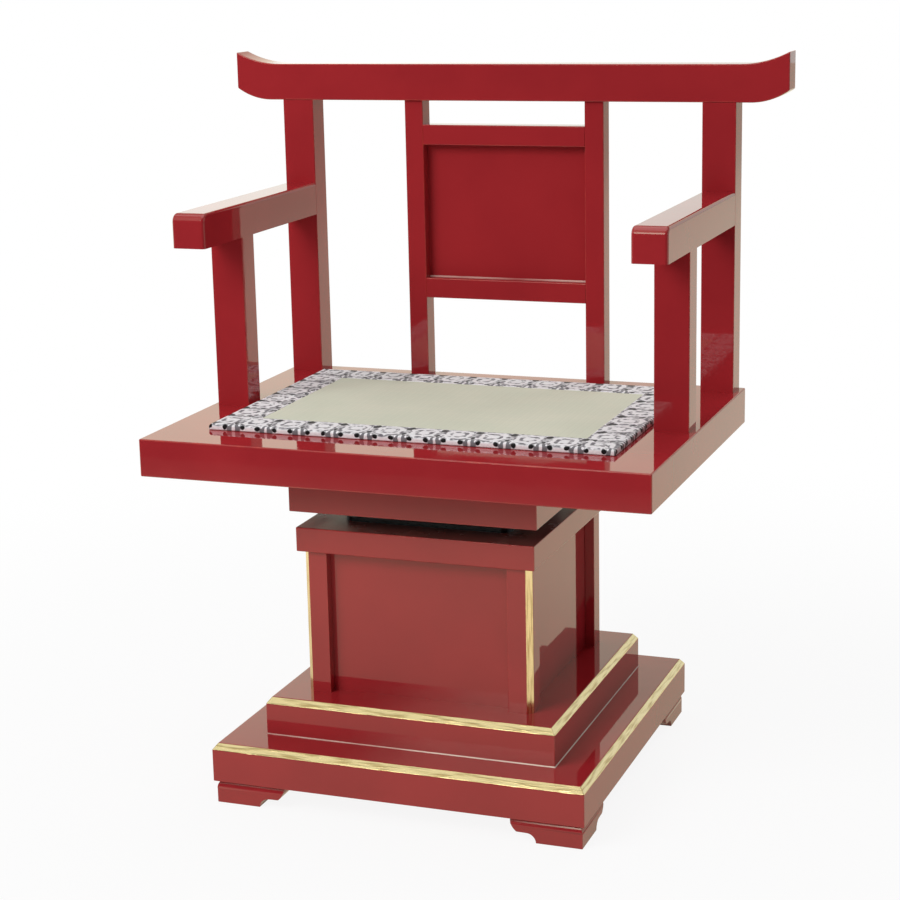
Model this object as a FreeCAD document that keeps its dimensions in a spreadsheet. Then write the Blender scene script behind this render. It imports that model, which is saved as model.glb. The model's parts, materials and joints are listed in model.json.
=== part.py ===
import FreeCAD, Part
import Sketcher
import math
import os
import re

# Temple chair in red lacquer: a seat with arms and a back that turns on a stepped pedestal.
# Frame: the chair faces -Y, +X is to the right seen from the front, +Z up. Left and right in the names
# are as seen from the front.
# The origin is on the floor, on the axis that the seat turns about. All sizes are in millimetres.

SIZES = {
    # Bracket feet, measured from the lower plinth's edge
    "foot_height": 27,
    "foot_floor_inset": 3,
    "foot_top_inset": 7,
    "foot_shoulder": 10,
    "foot_board": 26,
    "foot_floor_length": 57,
    "foot_ledge_height": 11,
    "foot_ledge_flat": 12,
    "foot_cusp_run": 8,
    # Two plinths, each a frame of four rails
    "lower_width": 451,
    "lower_height": 46,
    "plinth_lap": 35,
    "upper_width": 354,
    "upper_height": 45,
    "pedestal_lap": 12,
    "plinth_chamfer": 8,
    # Stub tenons
    "tenon_length": 12,
    "tenon_thickness": 14,
    "tenon_shoulder": 10,
    "post_shoulder": 7,
    "tenon_play": 0.2,
    "tenon_end_gap": 1,
    # Pedestal
    "pedestal_width": 278,
    "pedestal_height": 172,
    "pedestal_post": 29,
    "post_chamfer": 9,
    "post_tenon": 16,
    "panel_recess": 12,
    "panel_thickness": 7,
    "groove_depth": 7,
    "groove_play": 0.5,
    "cap_overhang": 6,
    "cap_height": 29,
    # Swivel bearing and its centre bolt
    "plate_width": 205,
    "plate_corner": 12,
    "plate_thickness": 5.2,
    "roller_circle": 144,
    "roller_diameter": 9,
    "roller_length": 14,
    "roller_count": 12,
    "roller_play": 0.3,
    "cage_thickness": 3,
    "cage_rim": 3,
    "cage_play": 0.25,
    "bolt_diameter": 14,
    "bolt_flats": 22,
    "bolt_head": 9,
    "bolt_hole_play": 0.5,
    "pivot_play": 0.05,
    "washer_width": 34,
    "washer_thickness": 2.5,
    "washer_lift": 0.3,
    "nut_height": 12,
    "bolt_end": 3,
    "plate_screw_inset": 14.5,
    "plate_screw_diameter": 5,
    "plate_screw_flats": 8,
    "plate_screw_head_height": 3.5,
    "plate_screw_length": 20,
    "screw_play": 0.2,
    "screw_end_gap": 1,
    # Swivel block
    "block_width": 300,
    "block_height": 49,
    "nut_clearance": 4,
    "block_tongue": 22,
    "block_tongue_inset": 24,
    # Seat
    "seat_width": 601,
    "seat_depth": 446,
    "seat_thickness": 44,
    "seat_rail": 65,
    "seat_board": 12,
    "seat_rebate": 12,
    "bearer_width": 60,
    # Back
    "post_width": 41,
    "post_depth": 34,
    "post_side_inset": 7.5,
    "post_rear_inset": 1,
    "back_height": 350,
    "crest_overhang": 55.5,
    "crest_height": 45,
    "crest_depth": 34,
    "crest_rise": 14.5,
    "crest_top_sweep": 59,
    "crest_bottom_sweep": 46,
    "back_width": 258,
    "stile_width": 24,
    "stile_depth": 25,
    "crest_gap": 30,
    "back_rail_height": 25,
    "back_panel_height": 168,
    "back_panel_thickness": 6,
    "back_panel_recess": 15,
    "back_groove": 6,
    "back_tenon_thickness": 8,
    # Arms
    "arm_height": 205,
    "arm_thickness": 40,
    "arm_front": 92,
    "arm_nose_radius": 10,
    "arm_edge_radius": 4,
    "arm_post_depth": 33,
    "arm_post_front": 189.5,
    # Loose mat
    "mat_thickness": 7,
    "mat_front_margin": 64,
    "mat_side_gap": 9,
    "mat_rear_gap": 20.5,
    "mat_border": 46,
    "mat_cloth": 1.5,
    "mat_edge_radius": 3,
}

# Heights and depths that follow from the sizes
LEVELS = {
    "swivel_gap": "2 * (plate_thickness + roller_play) + roller_diameter",
    "lower_top": "foot_height + lower_height",
    "upper_top": "lower_top + upper_height",
    "pedestal_top": "upper_top + pedestal_height",
    "cap_top": "pedestal_top + cap_height",
    "block_bottom": "cap_top + swivel_gap",
    "seat_bottom": "block_bottom + block_height",
    "seat_top": "seat_bottom + seat_thickness",
    "arm_bottom": "seat_top + arm_height",
    "arm_top": "arm_bottom + arm_thickness",
    "crest_bottom": "seat_top + back_height",
    "crest_top": "crest_bottom + crest_height",
    "back_rail_top": "crest_bottom - crest_gap",
    "back_panel_top": "back_rail_top - back_rail_height",
    "back_panel_bottom": "back_panel_top - back_panel_height",
    "post_rear": "seat_depth / 2 - post_rear_inset",
    "post_front": "post_rear - post_depth",
    "back_middle": "post_rear - post_depth / 2",
    "stile_front": "back_middle - stile_depth / 2",
    "post_middle": "seat_width / 2 - post_side_inset - post_width / 2",
    "arm_post_middle": "arm_post_front - seat_depth / 2 + arm_post_depth / 2",
    "crest_end": "seat_width / 2 + crest_overhang",
    "mat_width": "2 * (post_middle - post_width / 2 - mat_side_gap)",
    "mat_front_edge": "mat_front_margin - seat_depth / 2",
    "mat_rear_edge": "stile_front - mat_rear_gap",
    "mat_depth": "mat_rear_edge - mat_front_edge",
    "mat_top": "seat_top + mat_thickness",
    "lower_inner": "upper_width / 2 - plinth_lap",
    "upper_inner": "pedestal_width / 2 - pedestal_post - pedestal_lap",
    "pedestal_post_middle": "pedestal_width / 2 - pedestal_post / 2",
    "panel_outer": "pedestal_width / 2 - panel_recess",
    "mortise_depth": "tenon_length + tenon_end_gap",
    "plate_screw_place": "plate_width / 2 - plate_screw_inset",
    "plate_screw_hole": "plate_screw_length - plate_thickness + screw_end_gap",
    "bearer_middle": "block_width / 2 - block_tongue_inset - block_tongue / 2",
}

doc = FreeCAD.newDocument("temple_chair")


def sheet_names(text, own=()):
    """Write a formula's plain names as cells of the two sheets."""
    def name(match):
        word = match.group()
        if word in SIZES:
            return "Sizes." + word
        if word in LEVELS and word not in own:
            return "Levels." + word
        return word
    return re.sub(r"[a-z_]+", name, str(text))


def fill_sheet(name, cells):
    """Make a sheet with one named cell for each entry."""
    sheet = doc.addObject("Spreadsheet::Sheet", name)
    for row, (alias, content) in enumerate(cells.items(), start=1):
        sheet.set(f"A{row}", alias)
        sheet.set(f"B{row}", content)
        sheet.setAlias(f"B{row}", alias)
    doc.recompute()
    return sheet


fill_sheet("Sizes", {alias: str(size) for alias, size in SIZES.items()})
levels = fill_sheet("Levels", {alias: "=" + sheet_names(rule, LEVELS) for alias, rule in LEVELS.items()})


def number(formula):
    """Value of a formula of sheet names, in millimetres."""
    return float(levels.evalExpression(sheet_names(formula)))


def bind(target, prop, formula):
    """Tie a property to a formula of sheet names."""
    target.setExpression(prop, sheet_names(formula))


# Closed outlines: a list of corners, with ("arc", radius) between two corners that an arc joins

def rectangle(left, right, near, far):
    return [(left, near), (right, near), (right, far), (left, far)]


def centred(half_x, half_y, x="0", y="0"):
    left, right = [f"({x}) {side} ({half_x})" for side in "-+"]
    near, far = [f"({y}) {side} ({half_y})" for side in "-+"]
    return rectangle(left, right, near, far)


def square(half, x="0", y="0"):
    return centred(half, half, x, y)


def disc(radius, x="0", y="0"):
    return {"radius": radius, "x": x, "y": y}


def hexagon(flats, x="0", y="0"):
    near, far = [f"({y}) {side} {flats} / 2" for side in "-+"]
    left, right = [f"({x}) {side} {flats} / sqrt(3)" for side in "-+"]
    left_half, right_half = [f"({x}) {side} {flats} / sqrt(3) / 2" for side in "-+"]
    return [(right, y), (right_half, far), (left_half, far), (left, y), (left_half, near), (right_half, near)]


def level_arc(run, rise):
    """Radius of an arc that leaves a line at a tangent, then moves away by rise over run."""
    return f"(({run})^2 + ({rise})^2) / (2 * ({rise}))"


def tie_point(sketch, index, point, x, y):
    """Give a sketch point its two coordinates."""
    for kind, formula in (("DistanceX", x), ("DistanceY", y)):
        constraint = sketch.addConstraint(Sketcher.Constraint(kind, -1, 1, index, point, number(formula)))
        bind(sketch, f"Constraints[{constraint}]", formula)


def draw_disc(sketch, loop):
    centre = FreeCAD.Vector(number(loop["x"]), number(loop["y"]), 0)
    circle = Part.Circle(centre, FreeCAD.Vector(0, 0, 1), number(loop["radius"]))
    index = sketch.addGeometry(circle)
    tie_point(sketch, index, 3, loop["x"], loop["y"])
    constraint = sketch.addConstraint(Sketcher.Constraint("Radius", index, number(loop["radius"])))
    bind(sketch, f"Constraints[{constraint}]", loop["radius"])


def arc_between(start, end, radius):
    """Arc between two points, turning left for a positive radius and right for a negative one."""
    chord = end - start
    left = FreeCAD.Vector(-chord.y, chord.x, 0).normalize()
    reach = math.sqrt(max(radius ** 2 - (chord.Length / 2) ** 2, 0))
    centre = (start + end) / 2 + left * math.copysign(reach, radius)
    first, last = (start, end) if radius > 0 else (end, start)
    angles = [math.atan2(point.y - centre.y, point.x - centre.x) for point in (first, last)]
    return Part.ArcOfCircle(Part.Circle(centre, FreeCAD.Vector(0, 0, 1), abs(radius)), *angles)


def draw_outline(sketch, loop):
    """Draw a closed outline with every corner and radius tied to the sheets."""
    corners = []
    radii = []
    for entry in loop:
        if entry[0] == "arc":
            radii[-1] = entry[1]
        else:
            corners.append(entry)
            radii.append(None)
    points = [FreeCAD.Vector(number(x), number(y), 0) for x, y in corners]
    ends = []
    for place, radius in enumerate(radii):
        start = points[place]
        end = points[(place + 1) % len(points)]
        if radius is None:
            index = sketch.addGeometry(Part.LineSegment(start, end))
            ends.append((index, 1, 2))
        else:
            index = sketch.addGeometry(arc_between(start, end, number(radius)))
            ends.append((index, 1, 2) if number(radius) > 0 else (index, 2, 1))
            constraint = sketch.addConstraint(Sketcher.Constraint("Radius", index, abs(number(radius))))
            bind(sketch, f"Constraints[{constraint}]", f"abs({radius})")
    for place, (index, first, last) in enumerate(ends):
        following, start, _ = ends[(place + 1) % len(ends)]
        sketch.addConstraint(Sketcher.Constraint("Coincident", index, last, following, start))
        tie_point(sketch, index, first, *corners[place])


def origin_feature(body, role):
    return next(feature for feature in body.Origin.OriginFeatures if feature.Role == role)


# Plane that a direction is square to, and the sign of the plane's own normal along it
PLANES = {"X": ("YZ_Plane", 1), "Y": ("XZ_Plane", -1), "Z": ("XY_Plane", 1)}


def sketch_at(body, name, direction, place, loops):
    """Sketch square to a direction, at a place along it."""
    role, sign = PLANES[direction]
    sketch = body.newObject("Sketcher::SketchObject", name)
    sketch.AttachmentSupport = [(origin_feature(body, role), "")]
    sketch.MapMode = "FlatFace"
    bind(sketch, "AttachmentOffset.Base.z", f"{sign} * ({place})")
    for loop in loops:
        if isinstance(loop, dict):
            draw_disc(sketch, loop)
        else:
            draw_outline(sketch, loop)
    return sketch


def add(body, name, direction, low, high, *loops):
    """Pad outlines from low to high along a direction."""
    start = low if PLANES[direction][1] > 0 else high
    pad = body.newObject("PartDesign::Pad", name)
    pad.Profile = sketch_at(body, name + "_sketch", direction, start, loops)
    bind(pad, "Length", f"({high}) - ({low})")
    return pad


def cut(body, name, direction, low, high, *loops):
    """Pocket outlines from low to high along a direction."""
    start = high if PLANES[direction][1] > 0 else low
    pocket = body.newObject("PartDesign::Pocket", name)
    pocket.Profile = sketch_at(body, name + "_sketch", direction, start, loops)
    bind(pocket, "Length", f"({high}) - ({low})")
    return pocket


def dress(body, name, kind, size, chosen):
    """Chamfer or fillet the edges of the body's tip whose boxes pass the test."""
    doc.recompute()
    base = body.Tip
    edges = [
        f"Edge{place}" for place, edge in enumerate(base.Shape.Edges, start=1) if chosen(edge.BoundBox)
    ]
    feature = body.newObject("PartDesign::" + kind, name)
    feature.Base = (base, edges)
    bind(feature, "Size" if kind == "Chamfer" else "Radius", size)
    return feature


def ring(body, name, count, *features):
    """Repeat features round the swivel axis."""
    pattern = body.newObject("PartDesign::PolarPattern", name)
    pattern.Originals = features
    pattern.Axis = (origin_feature(body, "Z_Axis"), [""])
    pattern.Angle = 360
    bind(pattern, "Occurrences", count)
    body.Tip = pattern
    return pattern


subparts = []


def new_body(label):
    body = doc.addObject("PartDesign::Body", label)
    body.Label = label
    subparts.append(body)
    return body


def quarter_turn(body, quarters):
    """Turn a body about the swivel axis."""
    body.Placement = FreeCAD.Placement(
        FreeCAD.Vector(), FreeCAD.Rotation(FreeCAD.Vector(0, 0, 1), 90 * quarters)
    )


TOLERANCE = 0.01


def same(first, second):
    return abs(first - second) < TOLERANCE


# Bracket feet

def from_edge(distance):
    """Place on X or Y that lies a distance in from the lower plinth's edge."""
    return f"({distance}) - lower_width / 2"


def foot(label, quarters):
    """L-shaped foot under the front left corner, with a round shoulder and a scroll on each wing."""
    body = new_body(label)
    outer = from_edge("foot_floor_inset")
    inner = from_edge("foot_floor_inset + foot_board")
    ledge_start = "foot_floor_length + foot_ledge_height"
    cusp = f"{ledge_start} + foot_ledge_flat"
    tip = from_edge(f"{cusp} + foot_cusp_run")
    plan = [(outer, outer), (tip, outer), (tip, inner), (inner, inner), (inner, tip), (outer, tip)]
    add(body, label + "_board", "Z", "0", "foot_height", plan)
    shoulder = [
        (outer, "foot_height - foot_shoulder"),
        ("arc", "-" + level_arc("foot_shoulder", "foot_top_inset - foot_floor_inset")),
        (from_edge("foot_top_inset"), "foot_height"),
        (outer, "foot_height"),
    ]
    scroll = [
        (from_edge("foot_floor_length"), "0"),
        ("arc", "-foot_ledge_height"),
        (from_edge(ledge_start), "foot_ledge_height"),
        (from_edge(cusp), "foot_ledge_height"),
        ("arc", level_arc("foot_height - foot_ledge_height", "foot_cusp_run")),
        (tip, "foot_height"),
        (tip, "0"),
    ]
    for direction in "XY":
        cut(body, f"{label}_shoulder_{direction}", direction, outer, tip, shoulder)
        cut(body, f"{label}_scroll_{direction}", direction, outer, tip, scroll)
    quarter_turn(body, quarters)


CORNERS = ("front_left", "front_right", "rear_right", "rear_left")
for quarters, corner in enumerate(CORNERS):
    foot("foot_" + corner, quarters)


# Plinths: long rails front and rear, short rails tenoned between them

def plinth_tenon_levels(bottom, top):
    middle = f"({bottom} + {top}) / 2"
    return f"{middle} - tenon_thickness / 2", f"{middle} + tenon_thickness / 2"


def chamfer_plinth(body, label, width, top):
    """Chamfer the top edges that lie on the outside of the plinth."""
    half = number(f"{width} / 2")
    height = number(top)

    def outside(box):
        on_x = same(box.XMin, box.XMax) and same(abs(box.XMin), half)
        on_y = same(box.YMin, box.YMax) and same(abs(box.YMin), half)
        return same(box.ZMin, height) and (on_x or on_y)
    dress(body, label + "_gilt_chamfer", "Chamfer", "plinth_chamfer", outside)


def plinth(tier, bottom, top, post_mortises):
    width = tier + "_width"
    inner = tier + "_inner"
    low, high = plinth_tenon_levels(bottom, top)
    for quarters, side in ((0, "front"), (2, "rear")):
        label = f"{tier}_plinth_{side}"
        body = new_body(label)
        add(body, label + "_rail", "Z", bottom, top,
            rectangle(f"-{width} / 2", f"{width} / 2", f"-{width} / 2", f"-{inner}"))
        chamfer_plinth(body, label, width, top)
        mortises = [
            rectangle(f"{sign} * ({inner} + tenon_shoulder - tenon_play)",
                      f"{sign} * ({width} / 2 - tenon_shoulder + tenon_play)",
                      f"-{inner} - mortise_depth", f"-{inner}")
            for sign in (-1, 1)
        ]
        cut(body, label + "_mortises", "Z", f"{low} - tenon_play", f"{high} + tenon_play", *mortises)
        if post_mortises:
            sockets = [
                square("post_tenon / 2 + tenon_play",
                       f"{sign} * pedestal_post_middle", "-pedestal_post_middle")
                for sign in (-1, 1)
            ]
            cut(body, label + "_post_sockets", "Z", f"{top} - mortise_depth", top, *sockets)
        quarter_turn(body, quarters)
    for quarters, side in ((0, "left"), (2, "right")):
        label = f"{tier}_plinth_{side}"
        body = new_body(label)
        add(body, label + "_rail", "Z", bottom, top,
            rectangle(f"-{width} / 2", f"-{inner}", f"-{inner}", inner))
        chamfer_plinth(body, label, width, top)
        add(body, label + "_tenons", "Z", low, high,
            rectangle(f"-{width} / 2 + tenon_shoulder", f"-{inner} - tenon_shoulder",
                      f"-{inner} - tenon_length", f"{inner} + tenon_length"))
        quarter_turn(body, quarters)


plinth("lower", "foot_height", "lower_top", False)
plinth("upper", "lower_top", "upper_top", True)


# Pedestal: four grooved corner posts, four panels, a cap

def pedestal_post(label, quarters):
    body = new_body(label)
    outer = "-pedestal_width / 2"
    inner = f"{outer} + pedestal_post"
    plan = [
        (f"{outer} + post_chamfer", outer), (inner, outer), (inner, inner),
        (outer, inner), (outer, f"{outer} + post_chamfer"),
    ]
    add(body, label + "_shaft", "Z", "upper_top", "pedestal_top", plan)
    near_face = "-panel_outer"
    far_face = "-panel_outer + panel_thickness"
    bottom = f"{inner} - groove_depth"
    cut(body, label + "_front_groove", "Z", "upper_top", "pedestal_top",
        rectangle(bottom, inner, near_face, far_face))
    cut(body, label + "_side_groove", "Z", "upper_top", "pedestal_top",
        rectangle(near_face, far_face, bottom, inner))
    tenon = square("post_tenon / 2", "-pedestal_post_middle", "-pedestal_post_middle")
    add(body, label + "_foot_tenon", "Z", "upper_top - tenon_length", "upper_top", tenon)
    add(body, label + "_head_tenon", "Z", "pedestal_top", "pedestal_top + tenon_length", tenon)
    quarter_turn(body, quarters)


def pedestal_panel(label, quarters):
    body = new_body(label)
    half = "pedestal_width / 2 - pedestal_post + groove_depth - groove_play"
    add(body, label + "_board", "Z", "upper_top", "pedestal_top",
        rectangle(f"-({half})", half, "-panel_outer", "-panel_outer + panel_thickness"))
    quarter_turn(body, quarters)


for quarters, corner in enumerate(CORNERS):
    pedestal_post("pedestal_post_" + corner, quarters)
for quarters, side in enumerate(("front", "right", "rear", "left")):
    pedestal_panel("pedestal_panel_" + side, quarters)

QUADRANTS = [(sign_x, sign_y) for sign_x in (-1, 1) for sign_y in (-1, 1)]


def four_corners(place):
    """Four points at plus and minus a place on X and on Y."""
    return [(f"{sign_x} * {place}", f"{sign_y} * {place}") for sign_x, sign_y in QUADRANTS]


def plate_screw_holes():
    return [disc("plate_screw_diameter / 2 + screw_play", x, y) for x, y in four_corners("plate_screw_place")]


cap = new_body("pedestal_cap")
add(cap, "cap_board", "Z", "pedestal_top", "cap_top", square("pedestal_width / 2 + cap_overhang"))
cut(cap, "cap_post_sockets", "Z", "pedestal_top", "pedestal_top + mortise_depth",
    *[square("post_tenon / 2 + tenon_play", x, y) for x, y in four_corners("pedestal_post_middle")])
cut(cap, "cap_bolt_hole", "Z", "pedestal_top", "cap_top", disc("bolt_diameter / 2 + bolt_hole_play"))
cut(cap, "cap_pilot_holes", "Z", "cap_top - plate_screw_hole", "cap_top", *plate_screw_holes())


# Swivel bearing: two like plates face to face, rollers between them in a cage.
# A plate and its screws are drawn with the wood's face at zero and the rollers above it.

def place_on_face(body, level, facing_down):
    """Set a bearing piece on the cap, or turn it over against the block."""
    turn = FreeCAD.Rotation(FreeCAD.Vector(1, 0, 0), 180 if facing_down else 0)
    body.Placement = FreeCAD.Placement(FreeCAD.Vector(), turn)
    bind(body, "Placement.Base.z", level)


def bearing_plate(label, level, facing_down, bolt_play):
    body = new_body(label)
    add(body, label + "_sheet", "Z", "0", "plate_thickness", square("plate_width / 2"))
    corner = number("plate_width / 2")

    def upright_corner(box):
        return same(abs(box.XMin), corner) and same(box.XMin, box.XMax) and same(box.YMin, box.YMax)
    dress(body, label + "_corners", "Fillet", "plate_corner", upright_corner)
    cut(body, label + "_screw_holes", "Z", "0", "plate_thickness", *plate_screw_holes())
    cut(body, label + "_bolt_hole", "Z", "0", "plate_thickness", disc(f"bolt_diameter / 2 + {bolt_play}"))
    place_on_face(body, level, facing_down)


def plate_screws(label, level, facing_down):
    """Four hexagon-headed screws, with their heads on the plate and their shanks in the wood."""
    body = new_body(label)
    body.AllowCompound = True
    shank = add(body, label + "_shank", "Z", "plate_thickness - plate_screw_length", "plate_thickness",
                disc("plate_screw_diameter / 2", "plate_screw_place", "plate_screw_place"))
    head = add(body, label + "_head", "Z", "plate_thickness", "plate_thickness + plate_screw_head_height",
               hexagon("plate_screw_flats", "plate_screw_place", "plate_screw_place"))
    ring(body, label + "_ring", len(QUADRANTS), shank, head)
    place_on_face(body, level, facing_down)


bearing_plate("lower_bearing_plate", "cap_top", False, "bolt_hole_play")
plate_screws("lower_bearing_screws", "cap_top", False)
bearing_plate("upper_bearing_plate", "block_bottom", True, "pivot_play")
plate_screws("upper_bearing_screws", "block_bottom", True)

rollers = new_body("bearing_rollers")
rollers.AllowCompound = True
roller = add(rollers, "roller", "X",
             "roller_circle / 2 - roller_length / 2", "roller_circle / 2 + roller_length / 2",
             disc("roller_diameter / 2", "0", "swivel_gap / 2"))
ring(rollers, "roller_ring", "roller_count", roller)
place_on_face(rollers, "cap_top", False)

cage = new_body("roller_cage")
cage_low = "swivel_gap / 2 - cage_thickness / 2"
cage_high = "swivel_gap / 2 + cage_thickness / 2"
cage_half = "(roller_length / 2 + cage_play + cage_rim)"
add(cage, "cage_hoop", "Z", cage_low, cage_high,
    disc(f"roller_circle / 2 + {cage_half}"), disc(f"roller_circle / 2 - {cage_half}"))
slot = cut(cage, "cage_slot", "Z", cage_low, cage_high,
           centred("roller_length / 2 + cage_play", "roller_diameter / 2 + cage_play", "roller_circle / 2"))
ring(cage, "cage_slots", "roller_count", slot)
place_on_face(cage, "cap_top", False)

washer_bottom = "block_bottom + washer_lift"
nut_bottom = f"{washer_bottom} + washer_thickness"
nut_top = f"{nut_bottom} + nut_height"

bolt = new_body("pivot_bolt")
add(bolt, "bolt_head", "Z", "pedestal_top - bolt_head", "pedestal_top", hexagon("bolt_flats"))
add(bolt, "bolt_shank", "Z", "pedestal_top", f"{nut_top} + bolt_end", disc("bolt_diameter / 2"))
washer = new_body("pivot_washer")
add(washer, "washer_plate", "Z", washer_bottom, nut_bottom,
    square("washer_width / 2"), disc("bolt_diameter / 2 + screw_play"))
nut = new_body("pivot_nut")
add(nut, "nut_prism", "Z", nut_bottom, nut_top, hexagon("bolt_flats"), disc("bolt_diameter / 2 + pivot_play"))


# Swivel block under the seat, with two tongues let into the bearers

def block_tongue(sign, play):
    """Plan of a tongue on the block, or of its groove in a bearer when there is play."""
    return centred(f"block_tongue / 2 + {play}", f"block_width / 2 - tenon_shoulder + {play}",
                   f"{sign} * bearer_middle")


SIDES = (("left", -1), ("right", 1))
block = new_body("swivel_block")
add(block, "block_board", "Z", "block_bottom", "seat_bottom", square("block_width / 2"))
add(block, "block_tongues", "Z", "seat_bottom", "seat_bottom + tenon_length",
    *[block_tongue(sign, "0") for _, sign in SIDES])
cut(block, "block_nut_mortise", "Z", "block_bottom", "seat_bottom",
    square("washer_width / sqrt(2) + nut_clearance"))
cut(block, "block_pilot_holes", "Z", "block_bottom", "block_bottom + plate_screw_hole", *plate_screw_holes())


# Seat: side rails run through, front and rear rails are tenoned between them, a panel is let in

seat_inner_x = "seat_width / 2 - seat_rail"
seat_inner_y = "seat_depth / 2 - seat_rail"
seat_panel_x = f"{seat_inner_x} + seat_rebate"
seat_panel_y = f"{seat_inner_y} + seat_rebate"
board_bottom = "seat_top - seat_board"
seat_tenon_low = "(seat_bottom + seat_top) / 2 - tenon_thickness / 2"
seat_tenon_high = "(seat_bottom + seat_top) / 2 + tenon_thickness / 2"


def post_tenon(sign, middle_y, depth, play):
    """Plan of a post's tenon on the post's own middle, or of its socket when there is play."""
    return centred(f"post_width / 2 - post_shoulder + {play}", f"{depth} / 2 - post_shoulder + {play}",
                   f"{sign} * post_middle", middle_y)


def stile_tenon(sign, play):
    """Plan of a back stile's tenon, or of its socket when there is play."""
    middle = f"{sign} * (back_width / 2 - stile_width / 2)"
    return square(f"tenon_thickness / 2 + {play}", middle, "back_middle")


def seat_side_rail(label, sign):
    body = new_body(label)
    add(body, label + "_board", "Z", "seat_bottom", "seat_top",
        rectangle(f"{sign} * ({seat_inner_x})", f"{sign} * seat_width / 2",
                  "-seat_depth / 2", "seat_depth / 2"))
    cut(body, label + "_rebate", "Z", board_bottom, "seat_top",
        rectangle(f"{sign} * ({seat_inner_x})", f"{sign} * ({seat_panel_x})",
                  f"-({seat_panel_y})", seat_panel_y))
    mortises = [
        rectangle(f"{sign} * ({seat_inner_x})", f"{sign} * ({seat_inner_x} + mortise_depth)",
                  f"{end} * ({seat_inner_y} + tenon_shoulder - tenon_play)",
                  f"{end} * (seat_depth / 2 - tenon_shoulder + tenon_play)")
        for end in (-1, 1)
    ]
    cut(body, label + "_mortises", "Z", f"{seat_tenon_low} - tenon_play", f"{seat_tenon_high} + tenon_play",
        *mortises)
    cut(body, label + "_post_sockets", "Z", "seat_top - mortise_depth", "seat_top",
        post_tenon(sign, "back_middle", "post_depth", "tenon_play"),
        post_tenon(sign, "arm_post_middle", "arm_post_depth", "tenon_play"))


def seat_cross_rail(label, end, sockets):
    body = new_body(label)
    add(body, label + "_board", "Z", "seat_bottom", "seat_top",
        rectangle(f"-({seat_inner_x})", seat_inner_x,
                  f"{end} * ({seat_inner_y})", f"{end} * seat_depth / 2"))
    cut(body, label + "_rebate", "Z", board_bottom, "seat_top",
        rectangle(f"-({seat_inner_x})", seat_inner_x,
                  f"{end} * ({seat_inner_y})", f"{end} * ({seat_panel_y})"))
    add(body, label + "_tenons", "Z", seat_tenon_low, seat_tenon_high,
        rectangle(f"-({seat_inner_x} + tenon_length)", f"{seat_inner_x} + tenon_length",
                  f"{end} * ({seat_inner_y} + tenon_shoulder)", f"{end} * (seat_depth / 2 - tenon_shoulder)"))
    if sockets:
        cut(body, label + "_stile_sockets", "Z", "seat_top - mortise_depth", "seat_top", *sockets)


for side, sign in SIDES:
    seat_side_rail(f"seat_{side}_rail", sign)
seat_cross_rail("seat_front_rail", -1, [])
seat_cross_rail("seat_rear_rail", 1, [stile_tenon(sign, "tenon_play") for _, sign in SIDES])

seat_panel = new_body("seat_panel")
add(seat_panel, "seat_panel_board", "Z", board_bottom, "seat_top",
    rectangle(f"-({seat_panel_x})", seat_panel_x, f"-({seat_panel_y})", seat_panel_y))

for side, sign in SIDES:
    label = f"seat_bearer_{side}"
    bearer = new_body(label)
    add(bearer, label + "_board", "Z", "seat_bottom", board_bottom,
        centred("bearer_width / 2", seat_inner_y, f"{sign} * bearer_middle"))
    cut(bearer, label + "_groove", "Z", "seat_bottom", "seat_bottom + mortise_depth",
        block_tongue(sign, "tenon_play"))


# Posts, arms and crest rail

def upright(label, sign, middle_y, depth, top):
    """Post on the seat with a stub tenon at each end."""
    body = new_body(label)
    add(body, label + "_shaft", "Z", "seat_top", top,
        centred("post_width / 2", f"{depth} / 2", f"{sign} * post_middle", middle_y))
    tenon = post_tenon(sign, middle_y, depth, "0")
    add(body, label + "_foot_tenon", "Z", "seat_top - tenon_length", "seat_top", tenon)
    add(body, label + "_head_tenon", "Z", top, f"{top} + tenon_length", tenon)
    return body


arm_tenon_low = "(arm_bottom + arm_top) / 2 - tenon_thickness / 2"
arm_tenon_high = "(arm_bottom + arm_top) / 2 + tenon_thickness / 2"


def arm_tenon(sign, length, play):
    """Plan of an arm's tenon behind the rear post's front face, or of its socket when there is play."""
    half = f"(post_width / 2 - post_shoulder + {play})"
    return rectangle(f"{sign} * post_middle - {half}", f"{sign} * post_middle + {half}",
                     "post_front", f"post_front + {length}")


def arm(label, sign):
    """Level arm with a rounded nose, tenoned into the rear post."""
    body = new_body(label)
    left = f"{sign} * post_middle - post_width / 2"
    right = f"{sign} * post_middle + post_width / 2"
    front = "arm_front - seat_depth / 2"
    add(body, label + "_bar", "Z", "arm_bottom", "arm_top", rectangle(left, right, front, "post_front"))
    top_height = number("arm_top")
    front_place = number(front)
    rear_place = number("post_front")

    def nose(box):
        return same(box.ZMin, top_height) and same(box.YMax, front_place)

    def long_top(box):
        return same(box.ZMin, top_height) and box.YMax > rear_place - 1 and box.YLength > 1
    dress(body, label + "_nose", "Fillet", "arm_nose_radius", nose)
    dress(body, label + "_edges", "Fillet", "arm_edge_radius", long_top)
    add(body, label + "_tenon", "Z", arm_tenon_low, arm_tenon_high, arm_tenon(sign, "tenon_length", "0"))
    cut(body, label + "_post_socket", "Z", "arm_bottom", "arm_bottom + mortise_depth",
        post_tenon(sign, "arm_post_middle", "arm_post_depth", "tenon_play"))


for side, sign in SIDES:
    rear_post = upright(f"rear_post_{side}", sign, "back_middle", "post_depth", "crest_bottom")
    cut(rear_post, f"rear_post_{side}_arm_socket", "Z",
        f"{arm_tenon_low} - tenon_play", f"{arm_tenon_high} + tenon_play",
        arm_tenon(sign, "mortise_depth", "tenon_play"))
    upright(f"arm_post_{side}", sign, "arm_post_middle", "arm_post_depth", "arm_bottom")
    arm(f"arm_{side}", sign)

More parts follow.
